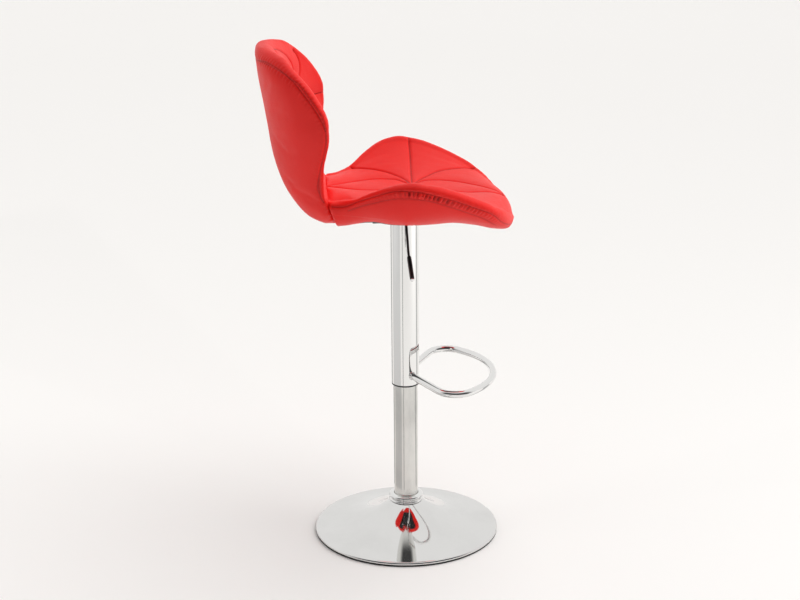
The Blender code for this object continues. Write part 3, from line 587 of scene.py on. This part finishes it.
BACK = [(-0.1375, 0.6800, -0.1585, 0.7480, 0.1300, -0.1630, 0.7520, 0.030), (-0.1640, 0.6860, -0.1605, 0.7580, 0.1340, -0.1700, 0.7590, 0.030),
        (-0.1990, 0.7060, -0.1620, 0.7720, 0.1400, -0.1790, 0.7680, 0.030), (-0.2325, 0.7520, -0.1620, 0.7960, 0.1510, -0.1950, 0.7880, 0.030),
        (-0.2545, 0.8120, -0.1600, 0.8300, 0.1710, -0.2075, 0.8230, 0.030), (-0.2655, 0.8830, -0.1505, 0.8850, 0.2010, -0.2145, 0.8840, 0.030),
        (-0.2725, 0.9300, -0.1530, 0.9240, 0.2045, -0.2185, 0.9280, 0.030), (-0.2795, 0.9700, -0.1760, 0.9670, 0.1900, -0.2225, 0.9680, 0.030),
        (-0.2860, 1.0010, -0.2040, 1.0010, 0.1610, -0.2300, 0.9990, 0.030), (-0.2890, 1.0190, -0.2260, 1.0230, 0.1210, -0.2420, 1.0190, 0.028),
        (-0.2880, 1.0300, -0.2480, 1.0340, 0.0780, -0.2540, 1.0305, 0.022), (-0.2840, 1.0360, -0.2620, 1.0377, 0.0420, -0.2660, 1.0365, 0.014)]


def lerp_table(rows, s):
    n = len(rows)
    i = min(max(int(s), 0), n - 2)
    t = s - i
    p0, p1 = rows[max(i - 1, 0)], rows[i]
    p2, p3 = rows[i + 1], rows[min(i + 2, n - 1)]
    return [(2 * t ** 3 - 3 * t ** 2 + 1) * b + (t ** 3 - 2 * t ** 2 + t) * 0.5 * (c - a) + (-2 * t ** 3 + 3 * t ** 2) * c
            + (t ** 3 - t ** 2) * 0.5 * (d - b) for a, b, c, d in zip(p0, p1, p2, p3)]


def section(row, kind, n_side, n_cap, bowl):
    ox, oz, rx, rz, w, ix, iz, th = row
    nx, nz = rx - ox, rz - oz
    L = hypot(nx, nz) or 1.0
    nx, nz = nx / L, nz / L
    ro = (rx - nx * 0.014, rz - nz * 0.014)
    ri = (rx - nx * 0.007, rz - nz * 0.007)
    wi = w - min(th * 0.80, w * 0.62)
    outer, inner = [], []
    for k in range(n_side + 1):
        t = k / n_side
        lat = sin(t * pi / 2) * 0.30 + t * 0.70
        if kind == "seat":
            f = max(0.0, (lat - 0.50) / 0.50)
            d = min(1.0, max(0.0, (lat - 0.36) / 0.14))
            g = 0.72 * (1 - sqrt(max(0.0, 1 - f * f * 0.97))) / (1 - sqrt(0.03)) + 0.28 * f ** 2
            g -= 0.132 * max(0.0, min(1.0, (ox + 0.128) / 0.05, (0.180 - ox) / 0.06)) * d * d * (3 - 2 * d) * (1 - f)
        else:
            g = 0.15 * lat ** 2 + 0.85 * lat ** 3.8
        outer.append((ox + (ro[0] - ox) * g, w * lat, oz + (ro[1] - oz) * g))
    for k in range(n_side + 1):
        t = k / n_side
        lat = sin(t * pi / 2) * 0.30 + t * 0.70
        g = (1 - bowl) * lat ** 2 + bowl * lat ** 3.2
        inner.append((ix + (ri[0] - ix) * g, wi * lat, iz + (ri[1] - iz) * g))
    a, b = Vector(outer[-1]), Vector(inner[-1])
    bulge = min(0.0105, 0.30 * th)
    mid, d = (a + b) / 2, a - b
    out = Vector((nx * 0.85, 0.53, nz * 0.85)).normalized()
    out = (out - d.normalized() * out.dot(d.normalized())).normalized()
    cap = [mid + d * 0.5 * cos(pi * k / n_cap) + out * bulge * sin(pi * k / n_cap) for k in range(1, n_cap)]
    return [Vector(p) for p in outer], cap, [Vector(p) for p in inner]


def loft(table, kind, bowl, stations, n_side, n_cap):
    def mir(p):
        return Vector((p.x, -p.y, p.z))
    rings = []
    for i in range(stations + 1):
        o, c, inn = section(lerp_table(table, (len(table) - 1) * i / stations), kind, n_side, n_cap, bowl)
        right = o + c + list(reversed(inn))
        left = [mir(p) for p in inn[1:]] + [mir(p) for p in reversed(c)] + [mir(p) for p in reversed(o[1:])]
        rings.append(right + left)
    n = len(rings[0])
    verts = [W(p.x, p.y, p.z) for r in rings for p in r]
    faces = []
    for i in range(stations):
        for k in range(n):
            k2 = (k + 1) % n
            faces.append((i * n + k, i * n + k2, (i + 1) * n + k2, (i + 1) * n + k))
    # end caps as strips between the mirrored halves
    half = n // 2
    for base in (0, stations * n):
        for k in range(1, half):
            a, b = base + k, base + k + 1
            c, d = base + (n - k - 1), base + (n - k)
            if b == c:
                faces.append((a, b, d))
            else:
                faces.append((a, b, c, d))
        faces.append((base, base + 1, base + n - 1))
    me = bpy.data.meshes.new("loft")
    me.from_pydata([tuple(v) for v in verts], [], faces)
    bm = bmesh.new()
    bm.from_mesh(me)
    bmesh.ops.remove_doubles(bm, verts=bm.verts, dist=1e-6)
    bmesh.ops.recalc_face_normals(bm, faces=bm.faces)
    bm.to_mesh(me)
    bm.free()
    return me


def shrunk(me, amount):
    bm = bmesh.new()
    bm.from_mesh(me)
    bm.normal_update()
    move = [v.normal * amount for v in bm.verts]
    for v, m in zip(bm.verts, move):
        v.co -= m
    me2 = bpy.data.meshes.new("start")
    bm.to_mesh(me2)
    bm.free()
    return me2


def poly3(pts, step=0.0004):
    """Even samples along a smooth line through pts."""
    dense = catmull([Vector(p) for p in pts], 60)
    out, acc = [dense[0]], 0.0
    for a, b in zip(dense, dense[1:]):
        acc += (b - a).length
        if acc >= step:
            out.append(b)
            acc = 0.0
    return out


def cast(bvh, pts, direction, start=0.35):
    d = Vector(direction)
    out = []
    for p in pts:
        hit = bvh.ray_cast(p - d * start, d, 2 * start + 0.5)
        if hit[0] is not None:
            out.append(hit[0])
    return out


def snap(bvh, pts):
    return [bvh.find_nearest(p)[0] for p in pts]


def both(pts):
    """A line on the sitter's right and its mirror image."""
    return [pts, [(p[0], -p[1]) + tuple(p[2:]) for p in pts]]


def pair(pts):
    """A line given as (y, z) and its mirror image."""
    return [pts, [(-p[0], p[1]) for p in pts]]


C0 = (0.016, 0.0)
SEAT_STAR = []
SEAT_STAR += both([C0, (0.0178, 0.035), (0.0195, 0.071), (0.0232, 0.136), (0.0245, 0.187), (0.025, 0.205)])
SEAT_STAR += both([C0, (0.0095, 0.027), (0.0036, 0.044), (-0.0106, 0.066), (-0.0301, 0.087), (-0.0529, 0.102), (-0.0785, 0.1155), (-0.1010, 0.136)])
SEAT_STAR += both([C0, (0.003, 0.022), (-0.0124, 0.040), (-0.0283, 0.044), (-0.0567, 0.0465), (-0.0801, 0.041), (-0.1062, 0.029), (-0.1321, 0.014), (-0.1540, 0.003)])
SEAT_STAR += both([C0, (0.0278, 0.030), (0.055, 0.070), (0.07, 0.0900), (0.0843, 0.104), (0.1128, 0.126), (0.1422, 0.150), (0.1600, 0.160)])
SEAT_STAR += both([C0, (0.0333, 0.026), (0.0521, 0.037), (0.0704, 0.041), (0.0913, 0.043), (0.1173, 0.041), (0.1422, 0.030), (0.1666, 0.018), (0.1865, 0.0107), (0.2030, 0.003)])
SEAT_S1 = [(-0.1480, -0.1280, 0.7390), (-0.1229, -0.1398, 0.7426), (-0.099, -0.1559, 0.7562), (-0.0757, -0.1804, 0.7694),
           (-0.0526, -0.2005, 0.7813), (-0.0294, -0.2148, 0.7892), (0.0000, -0.2215, 0.7890), (0.0276, -0.2226, 0.7836),
           (0.0666, -0.2161, 0.7712), (0.1164, -0.2025, 0.7503), (0.1553, -0.1836, 0.7306), (0.1794, -0.1540, 0.7060),
           (0.1985, -0.1200, 0.6920), (0.2095, -0.0830, 0.6860), (0.2150, -0.0440, 0.6870), (0.2165, 0.0, 0.6880)]
SEAT_S2 = [(-0.1180, -0.1400, 0.7340), (-0.0930, -0.1570, 0.7480), (-0.0700, -0.1790, 0.7600), (-0.0480, -0.1960, 0.7700), (-0.0250, -0.2080, 0.7755),
           (0.0050, -0.2140, 0.7745), (0.0329, -0.2163, 0.7684), (0.0674, -0.2077, 0.7554),
           (0.1179, -0.1902, 0.7333), (0.144, -0.1764, 0.7189), (0.1668, -0.1522, 0.7003)]
BACK_STAR = []          # (y, z), cast on the inner face
BC = (0.0, 0.905)
BACK_STAR += pair([(-0.0, 1.0270), (0.028, 1.0210), (0.0555, 1.011), (0.0800, 0.9965), (0.0930, 0.9820), (0.0900, 0.9600), (0.070, 0.938), (0.038, 0.919), BC])
BACK_STAR += pair([(0.1340, 1.0010), (0.1398, 0.990), (0.1385, 0.975), (0.1248, 0.954), (0.098, 0.936), (0.060, 0.920), (0.030, 0.911), BC])
BACK_STAR += pair([(0.1900, 0.9030), (0.130, 0.9040), (0.070, 0.9047), BC])
BACK_STAR += pair([(0.1240, 0.8060), (0.115, 0.822), (0.096, 0.846), (0.067, 0.871), (0.032, 0.892), BC])
BACK_STAR += pair([(0.0, 0.7690), (0.016, 0.784), (0.032, 0.806), (0.041, 0.832), (0.037, 0.860), (0.020, 0.885), BC])
BACK_S1 = [(-0.2905, 0.0, 1.0150), (-0.287, -0.0425, 1.0137), (-0.2628, -0.1059, 1.0169), (-0.2416, -0.137, 1.0085), (-0.2174, -0.1665, 0.9906),
           (-0.1969, -0.1858, 0.967), (-0.1799, -0.1976, 0.9438), (-0.1665, -0.2046, 0.9198), (-0.1597, -0.2045, 0.8979),
           (-0.1611, -0.1911, 0.8659), (-0.1674, -0.1722, 0.8323), (-0.1731, -0.1537, 0.7946), (-0.1717, -0.1413, 0.7652), (-0.1646, -0.1354, 0.7483)]
BACK_S2 = [(-0.2842, -0.0621, 1.0153), (-0.2641, -0.1074, 1.0141), (-0.2399, -0.1408, 1.0059), (-0.2208, -0.1619, 0.9958), (-0.2043, -0.1772, 0.9848),
           (-0.1858, -0.1934, 0.9606), (-0.1672, -0.2025, 0.935), (-0.1594, -0.2053, 0.9084), (-0.1572, -0.199, 0.8847), (-0.161, -0.1821, 0.8535),
           (-0.1712, -0.1634, 0.814), (-0.1764, -0.1481, 0.7849), (-0.1729, -0.142, 0.7679)]


def kd_of(samples):
    kd = KDTree(len(samples))
    for i, p in enumerate(samples):
        kd.insert(p, i)
    kd.balance()
    return kd


def edges_of(me):
    e = np.zeros(len(me.edges) * 2, dtype=np.int64)
    me.edges.foreach_get("vertices", e)
    return e.reshape(-1, 2)


def relax(values, edges, times, fac=0.5):
    n = len(values)
    deg = np.zeros(n)
    np.add.at(deg, edges[:, 0], 1)
    np.add.at(deg, edges[:, 1], 1)
    deg[deg == 0] = 1
    v = values.copy()
    for _ in range(times):
        acc = np.zeros_like(v)
        np.add.at(acc, edges[:, 0], v[edges[:, 1]])
        np.add.at(acc, edges[:, 1], v[edges[:, 0]])
        mean = acc / (deg[:, None] if v.ndim == 2 else deg)
        v = v + (mean - v) * fac
    return v


def coords(me):
    c = np.zeros(len(me.vertices) * 3)
    me.vertices.foreach_get("co", c)
    return c.reshape(-1, 3)


def set_coords(me, c):
    me.vertices.foreach_set("co", c.reshape(-1))
    me.update()


def normals(me):
    c = np.zeros(len(me.vertices) * 3)
    me.vertices.foreach_get("normal", c)
    return c.reshape(-1, 3)


def upholster(name, table, kind, bowl, voxel, star, s1, s2, star_dir, keep_low):
    full = loft(table, kind, bowl, 110, 44, 14)
    full_bvh = BVHTree.FromPolygons([v.co.copy() for v in full.vertices], [tuple(p.vertices) for p in full.polygons])
    SHRINK = 0.0014
    start = shrunk(full, SHRINK)
    ob = bpy.data.objects.new(name, start)
    COL.objects.link(ob)
    vl = bpy.context.view_layer
    vl.objects.active = ob
    md = ob.modifiers.new("remesh", "REMESH")
    md.mode = "VOXEL"
    md.voxel_size = voxel
    dg = bpy.context.evaluated_depsgraph_get()
    me = bpy.data.meshes.new_from_object(ob.evaluated_get(dg))
    ob.modifiers.clear()
    ob.data = me
    p0 = relax(coords(me), edges_of(me), 2, 0.5)
    # back onto the smooth starting form
    st_bvh = BVHTree.FromPolygons([v.co.copy() for v in start.vertices], [tuple(p.vertices) for p in start.polygons])
    for i in range(len(p0)):
        hit = st_bvh.find_nearest(Vector(p0[i]))
        if hit[0] is not None and hit[3] < 0.004:
            p0[i] = hit[0]
    set_coords(me, p0)

    # seam lines on the form
    lines = []
    for pts in star:
        if star_dir == "down":
            q = [W(x, y, 0.90) for x, y in pts]
            q = poly3(q, 0.0008)
            line = cast(st_bvh, [Vector((p.x, p.y, 0.90)) for p in q], (0, 0, -1), 0.0)
        else:
            q = poly3([W(0.0, y, z) for y, z in pts], 0.0008)
            line = cast(st_bvh, [Vector((p.x, COL_Y - 0.10, p.z)) for p in q], (0, 1, 0), 0.0)
        lines.append(line)
    rim = []
    for sgn in (1, -1):
        q = poly3([W(x, y * sgn, z) for x, y, z in s1], 0.0008)
        rim.append(snap(st_bvh, q))
    stitch = []
    for sgn in (1, -1):
        q = poly3([W(x, y * sgn, z) for x, y, z in s2], 0.0008)
        stitch.append(q)
    kd_star = kd_of([p for l in lines for p in l])
    kd_rim = kd_of([p for l in rim for p in l])

    # region of the underside that lies on the pan and over the lever: it keeps the CAD surface
    def region(p):
        x, y, z = COL_Y - p[1], p[0], p[2]
        if keep_low and z < 0.722:
            return max(0.0, min(1.0, (abs(y) - 0.135) / 0.03))
        return 1.0

    grp = ob.vertex_groups.new(name="pin")
    for i in range(len(p0)):
        v = Vector(p0[i])
        ds = kd_star.find(v)[2]
        dr = kd_rim.find(v)[2]
        if ds < voxel * 0.80 or dr < voxel * 0.80 or region(p0[i]) < 0.5:
            grp.add([i], 1.0, "REPLACE")
    cl = ob.modifiers.new("cloth", "CLOTH")
    cs = cl.settings
    cs.quality = 6
    cs.mass = 0.3
    cs.use_pressure = True
    cs.uniform_pressure_force = 4.0
    cs.effector_weights.gravity = 0.0
    cs.tension_stiffness = 18
    cs.compression_stiffness = 14
    cs.shear_stiffness = 6
    cs.bending_stiffness = 0.6
    cs.vertex_group_mass = "pin"
    cs.pin_stiffness = 3.0
    cl.collision_settings.use_collision = False
    cl.point_cache.frame_start = 1
    cl.point_cache.frame_end = 22
    for f in range(1, 21):
        scene.frame_set(f)
    dg = bpy.context.evaluated_depsgraph_get()
    sim = bpy.data.meshes.new_from_object(ob.evaluated_get(dg))
    p1 = coords(sim)
    bpy.data.meshes.remove(sim)
    ob.modifiers.clear()
    ob.vertex_groups.clear()
    scene.frame_set(1)
    move = p1 - p0
    ln = np.linalg.norm(move, axis=1)
    cap = 0.0034
    move *= (np.minimum(ln, cap) / np.maximum(ln, 1e-9))[:, None]
    print("cloth", name, "mean move mm", round(float(ln.mean()) * 1000, 2), "max", round(float(ln.max()) * 1000, 2))
    move = relax(move, edges_of(me), 1, 0.5)
    p = p0 + move
    set_coords(me, p)

    # one subdivision, then a finer mesh beside the seams
    sd = ob.modifiers.new("sub", "SUBSURF")
    sd.levels = 1
    sd.render_levels = 1
    dg = bpy.context.evaluated_depsgraph_get()
    me2 = bpy.data.meshes.new_from_object(ob.evaluated_get(dg))
    ob.modifiers.clear()
    ob.data = me2
    bm = bmesh.new()
    bm.from_mesh(me2)
    near = {}
    for v in bm.verts:
        near[v] = kd_star.find(v.co)[2] < 0.0065 or kd_rim.find(v.co)[2] < 0.0115
    sel = [e for e in bm.edges if near[e.verts[0]] and near[e.verts[1]]]
    bmesh.ops.subdivide_edges(bm, edges=sel, cuts=1, use_grid_fill=True, smooth=0.0)
    bmesh.ops.triangulate(bm, faces=[f for f in bm.faces if len(f.verts) > 4])
    bm.to_mesh(me2)
    bm.free()
    me = me2
    ed = edges_of(me)
    c = relax(coords(me), ed, 3, 0.5)
    if kind == "seat":
        soft = relax(c, ed, 16, 0.5)
        wgt = np.clip(((COL_Y - c[:, 1]) - 0.196) / 0.014, 0, 1)[:, None]
        c = c * (1 - wgt) + soft * wgt
    set_coords(me, c)
    nn = normals(me)

    # re-lay the lines on the puffed form so that grooves and thread follow it
    now = BVHTree.FromPolygons([Vector(v) for v in c], [tuple(p.vertices) for p in me.polygons])
    lines = [snap(now, l) for l in lines]
    rim = [snap(now, l) for l in rim]
    stitch = [snap(now, l) for l in stitch]
    kd_star = kd_of([p for l in lines for p in l])
    rim_flat, rim_s = [], []
    for l in rim:
        s = 0.0
        for i, pnt in enumerate(l):
            if i:
                s += (pnt - l[i - 1]).length
            rim_flat.append(pnt)
            rim_s.append(s)
    kd_rim = kd_of(rim_flat)
    kd_st = kd_of([p for l in stitch for p in l])
    st_len = len(rim_flat)

    seam_and_crease_shade = np.zeros(len(c))
    disp = np.zeros(len(c))
    for i in range(len(c)):
        v = Vector(c[i])
        ds = kd_star.find(v)[2]
        q, j, dr = kd_rim.find(v)
        ds2 = kd_st.find(v)[2]
        k = region(c[i])
        g = -0.0025 * exp(-(ds / 0.0024) ** 2) - 0.0018 * exp(-(dr / 0.0019) ** 2) - 0.0006 * exp(-(ds2 / 0.0016) ** 2)
        # cloth pulled in towards a seam, full between them
        g += 0.0021 * (1 - exp(-(ds / 0.014) ** 1.3)) - 0.0006
        # short gathers beside the rim seam, strongest where the seam bends most
        crease_shade = 0.0
        if dr < 0.017:
            s = rim_s[j]
            x, y, z = COL_Y - v.y, v.x, v.z
            if kind == "seat":
                strong = 2.6 * exp(-((x - 0.020) / 0.045) ** 2) + 1.1 * exp(-((x - 0.10) / 0.05) ** 2)
                side = 1.0 if (v - q).z < 0.0008 else 0.0
            else:
                strong = 0.42 * exp(-((z - 0.960) / 0.050) ** 2) + 0.16
                side = 1.0
            wave = sin(s / 0.0088 * 2 * pi + 1.3 * sin(s * 61.0) + (0.0 if y > 0 else 1.7))
            wave2 = noise.noise(Vector((s * 95.0, 3.1 if y > 0 else 9.4, z * 8.0)))
            env = exp(-((dr - 0.0055) / 0.0052) ** 2)
            rip = 0.00095 * wave + 0.0016 * wave2
            g += side * env * strong * rip
            # painted shade: the valleys of the gathers are also darkened in the colour
            crease_shade = side * env * strong * max(0.0, -rip) * (260.0 if kind == "seat" else 150.0)
        # slow unevenness of a hand-upholstered cover
        g += 0.00055 * noise.noise(Vector((c[i][0] * 17.0, c[i][1] * 17.0, c[i][2] * 17.0)))
        disp[i] = g * k
        seam_and_crease_shade[i] = max(min(crease_shade, 0.70), 0.85 * exp(-(ds / 0.0012) ** 2), 0.55 * exp(-(dr / 0.0012) ** 2), 0.45 * exp(-(ds2 / 0.0012) ** 2))
    c2 = c + nn * disp[:, None]
    # keep the underside on the CAD skin beside the pan and the lever
    for i in range(len(c2)):
        k = region(c2[i])
        if k < 1.0:
            hit = full_bvh.find_nearest(Vector(c2[i]))
            if hit[0] is not None:
                tgt = np.array(hit[0] - hit[1] * 0.0003)
                c2[i] = c2[i] * k + tgt * (1 - k)
    set_coords(me, c2)
    under = np.zeros(len(c2))
    if kind == "seat":
        for i in range(len(c2)):
            x, y, z = COL_Y - c2[i][1], c2[i][0], c2[i][2]
            if z < 0.735 and nn[i][2] < 0.1:
                qx, qy = abs(x - 0.022) - 0.072, abs(y) - 0.085
                dd = hypot(max(qx, 0.0), max(qy, 0.0)) + min(max(qx, qy), 0.0) - 0.050
                under[i] = max(0.0, min(1.0, 0.5 - dd / 0.012))
    au = me.attributes.new("under", "FLOAT", "POINT")
    au.data.foreach_set("value", under.astype(np.float32))
    at = me.attributes.new("seam_and_crease_shade", "FLOAT", "POINT")
    at.data.foreach_set("value", seam_and_crease_shade.astype(np.float32))
    me.polygons.foreach_set("use_smooth", [True] * len(me.polygons))
    me.materials.clear()
    me.materials.append(M_LEATHER)
    me.update()
    final_bvh = BVHTree.FromPolygons([Vector(v) for v in c2], [tuple(p.vertices) for p in me.polygons])
    print(name, "faces", len(me.polygons), "tris", sum(len(p.vertices) - 2 for p in me.polygons))
    return ob, final_bvh, lines, rim, stitch


def resample(l, step):
    out, acc = [l[0]], 0.0
    for a, b in zip(l, l[1:]):
        acc += (b - a).length
        if acc >= step:
            out.append(b)
            acc = 0.0
    return out


def stitches(name, bvh, lines, pitch, length, width, lift, offset=0.0):
    """Short raised thread lengths laid on the surface along the lines."""
    verts, faces = [], []
    for l in lines:
        pts = resample(l, 0.0006)
        if len(pts) < 4:
            continue
        s, cum = 0.0, [0.0]
        for a, b in zip(pts, pts[1:]):
            s += (b - a).length
            cum.append(s)
        n = int(s / pitch)
        for k in range(n):
            s0 = (k + 0.5) * pitch - length / 2
            ring_pts = []
            for m in range(5):
                sv = s0 + length * m / 4
                i = min(max(int(np.searchsorted(cum, sv)) - 1, 0), len(pts) - 2)
                t = (sv - cum[i]) / max(cum[i + 1] - cum[i], 1e-9)
                ring_pts.append(pts[i].lerp(pts[i + 1], min(max(t, 0), 1)))
            d = (ring_pts[-1] - ring_pts[0])
            if d.length < 1e-5:
                continue
            d.normalize()
            base = len(verts)
            for m, p in enumerate(ring_pts):
                hit = bvh.find_nearest(p)
                if hit[0] is None:
                    continue
                nrm = hit[1]
                side = d.cross(nrm).normalized()
                q = hit[0] + side * offset
                if offset:
                    h2 = bvh.find_nearest(q)
                    q, nrm = h2[0], h2[1]
                hgt = lift * sin(pi * (0.12 + 0.76 * m / 4)) - 0.0001
                rr = width / 2 * (0.55 + 0.45 * sin(pi * (0.1 + 0.8 * m / 4)))
                for a in range(6):
                    an = 2 * pi * a / 6
                    verts.append(q + nrm * (hgt + rr * 0.7 * sin(an)) + side * rr * cos(an))
            if len(verts) - base != 30:
                del verts[base:]
                continue
            for m in range(4):
                for a in range(6):
                    a2 = (a + 1) % 6
                    faces.append((base + m * 6 + a, base + m * 6 + a2, base + (m + 1) * 6 + a2, base + (m + 1) * 6 + a))
            faces.append(tuple(base + a for a in reversed(range(6))))
            faces.append(tuple(base + 24 + a for a in range(6)))
    ob = new_mesh(name, verts, faces)
    bm = bmesh.new()
    bm.from_mesh(ob.data)
    bmesh.ops.recalc_face_normals(bm, faces=bm.faces)
    bm.to_mesh(ob.data)
    bm.free()
    ob.data.materials.append(M_THREAD)
    return ob


seat, seat_bvh, seat_lines, seat_rim, seat_st = upholster("seat_upholstery", SEAT, "seat", 0.35, 0.0052, SEAT_STAR, SEAT_S1, SEAT_S2, "down", True)
back, back_bvh, back_lines, back_rim, back_st = upholster("back_upholstery", BACK, "back", 0.45, 0.0052, BACK_STAR, BACK_S1, BACK_S2, "front", False)
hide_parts("seat_cushion", "seat_shell")
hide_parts("backrest_cushion", "back_shell")
for ob in (seat, back):
    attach(ob, "lift")
st1 = stitches("seat_rim_stitching", seat_bvh, seat_st, 0.0048, 0.0034, 0.0009, 0.0005)
st2 = stitches("back_rim_stitching", back_bvh, back_st, 0.0048, 0.0034, 0.0009, 0.0005)
for ob in (st1, st2):
    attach(ob, "lift")

# ---------------------------------------------------------------- stage and light
def floor_mat():
    m, nt, sh = mat_nodes("studio_floor")
    vec = mapping(nt, (1, 1, 1))
    n = node(nt, "ShaderNodeTexNoise", i_Scale=0.4, i_Detail=1.0)
    nt.links.new(vec, n.inputs["Vector"])
    nt.links.new(mixrgb(nt, n.outputs[0], (0.905, 0.893, 0.880), (0.915, 0.905, 0.893)), sh.inputs["Base Color"])
    sh.inputs["Roughness"].default_value = 0.75
    sh.inputs["Specular IOR Level"].default_value = 0.15
    return m


R = 40.0
n = 96
fl = new_mesh("floor", [(0, 0, 0)] + [(R * cos(2 * pi * k / n), R * sin(2 * pi * k / n), 0) for k in range(n)],
              [(0, k + 1, (k + 1) % n + 1) for k in range(n)], smooth=False)
fl.location.z = -0.0002
fl.data.materials.append(floor_mat())

world = bpy.data.worlds.new("studio")
scene.world = world
world.use_nodes = True
wn = world.node_tree
bg = wn.nodes["Background"]
WL = wn.links
tc = wn.nodes.new("ShaderNodeTexCoord")
sep = wn.nodes.new("ShaderNodeSeparateXYZ")
WL.new(tc.outputs["Generated"], sep.inputs[0])


def wramp(src, lo, hi, a, b):
    r = wn.nodes.new("ShaderNodeMapRange")
    r.interpolation_type = "SMOOTHSTEP"
    WL.new(src, r.inputs[0])
    r.inputs[1].default_value, r.inputs[2].default_value = lo, hi
    r.inputs[3].default_value, r.inputs[4].default_value = a, b
    return r.outputs[0]


def wmath(op, a, b):
    m = wn.nodes.new("ShaderNodeMath")
    m.operation = op
    for i, v in ((0, a), (1, b)):
        if isinstance(v, (int, float)):
            m.inputs[i].default_value = v
        else:
            WL.new(v, m.inputs[i])
    return m.outputs[0]


# the unlit end of the studio, opposite the white sweep: a low dark band, seen only as accents in the chrome
west = wramp(sep.outputs[0], 0.05, -0.55, 0.0, 1.0)
low = wramp(sep.outputs[2], 0.92, 0.70, 0.0, 1.0)
band = wmath("MULTIPLY", west, low)
lp = wn.nodes.new("ShaderNodeLightPath")
keep = wmath("MULTIPLY", band, wmath("SUBTRACT", 1.0, lp.outputs["Is Camera Ray"]))
mx = wn.nodes.new("ShaderNodeMix")
mx.data_type = "RGBA"
WL.new(keep, mx.inputs[0])
mx.inputs[6].default_value = (0.985, 0.975, 0.960, 1)
mx.inputs[7].default_value = (0.085, 0.085, 0.088, 1)
WL.new(mx.outputs[2], bg.inputs["Color"])
# the sweep is brighter to the eye and in chrome than the light it gives
vis = wmath("MAXIMUM", lp.outputs["Is Camera Ray"], lp.outputs["Is Glossy Ray"])
st = wn.nodes.new("ShaderNodeMapRange")
WL.new(vis, st.inputs[0])
st.inputs[3].default_value = 0.56
st.inputs[4].default_value = 0.93
WL.new(st.outputs[0], bg.inputs["Strength"])

sun_data = bpy.data.lights.new("overhead_soft", "SUN")
sun_data.angle = radians(75)
sun_data.energy = 2.18
sun_data.color = (1.0, 0.992, 0.982)
sun = bpy.data.objects.new("overhead_soft", sun_data)
COL.objects.link(sun)
sun.location = (1.0, -1.2, 4.0)
sun.visible_glossy = False
sun.rotation_euler = Vector((-0.16, 0.62, -1.0)).to_track_quat("-Z", "Y").to_euler()


def soft_box(name, loc, target, size, power):
    ld = bpy.data.lights.new(name, "AREA")
    ld.shape = "RECTANGLE"
    ld.size = size
    ld.size_y = size
    ld.energy = power
    lo = bpy.data.objects.new(name, ld)
    COL.objects.link(lo)
    lo.location = loc
    lo.rotation_euler = (Vector(target) - Vector(loc)).to_track_quat("-Z", "Y").to_euler()
    lo.visible_glossy = False
    return lo


soft_box("fill_front", (-0.7, -3.0, 0.75), (0, -0.10, 0.72), 1.4, 20)
soft_box("fill_rear", (-0.3, 3.0, 1.25), (0, 0.2, 0.88), 1.2, 9)


def flag(name, az0, az1, r0, r1, shade):
    """A grey card lying on the studio floor that only the chrome sees. Azimuths go round from the camera's side."""
    n_ = 14
    verts, faces = [], []
    for k in range(n_ + 1):
        a = radians(az0 + (az1 - az0) * k / n_)
        for r_ in (r0, r1):
            verts.append((-cos(a) * r_, COL_Y - sin(a) * r_, 0.0006))
    for k in range(n_):
        faces.append((2 * k, 2 * k + 1, 2 * k + 3, 2 * k + 2))
    ob = new_mesh(name, verts, faces, smooth=False)
    m, nt, sh = mat_nodes(name + "_paint")
    n2 = node(nt, "ShaderNodeTexNoise", i_Scale=3.0)
    nt.links.new(mixrgb(nt, n2.outputs[0], (shade,) * 3, (shade * 1.1,) * 3), sh.inputs["Base Color"])
    sh.inputs["Roughness"].default_value = 0.9
    ob.data.materials.append(m)
    ob.visible_camera = False
    ob.visible_diffuse = False
    ob.visible_shadow = False
    return ob


flag("card_left_wide", -42, -118, 0.24, 3.0, 0.62)
flag("card_left_narrow", -20, -25, 0.24, 3.0, 0.30)
flag("card_right_narrow", 100, 116, 0.24, 3.0, 0.42)
flag("card_left_edge", -138, -160, 0.24, 3.0, 0.35)

scene.view_settings.view_transform = "Standard"
scene.view_settings.look = "None"
scene.view_settings.exposure = 0.0
scene.view_settings.gamma = 1.0

bpy.context.view_layer.update()
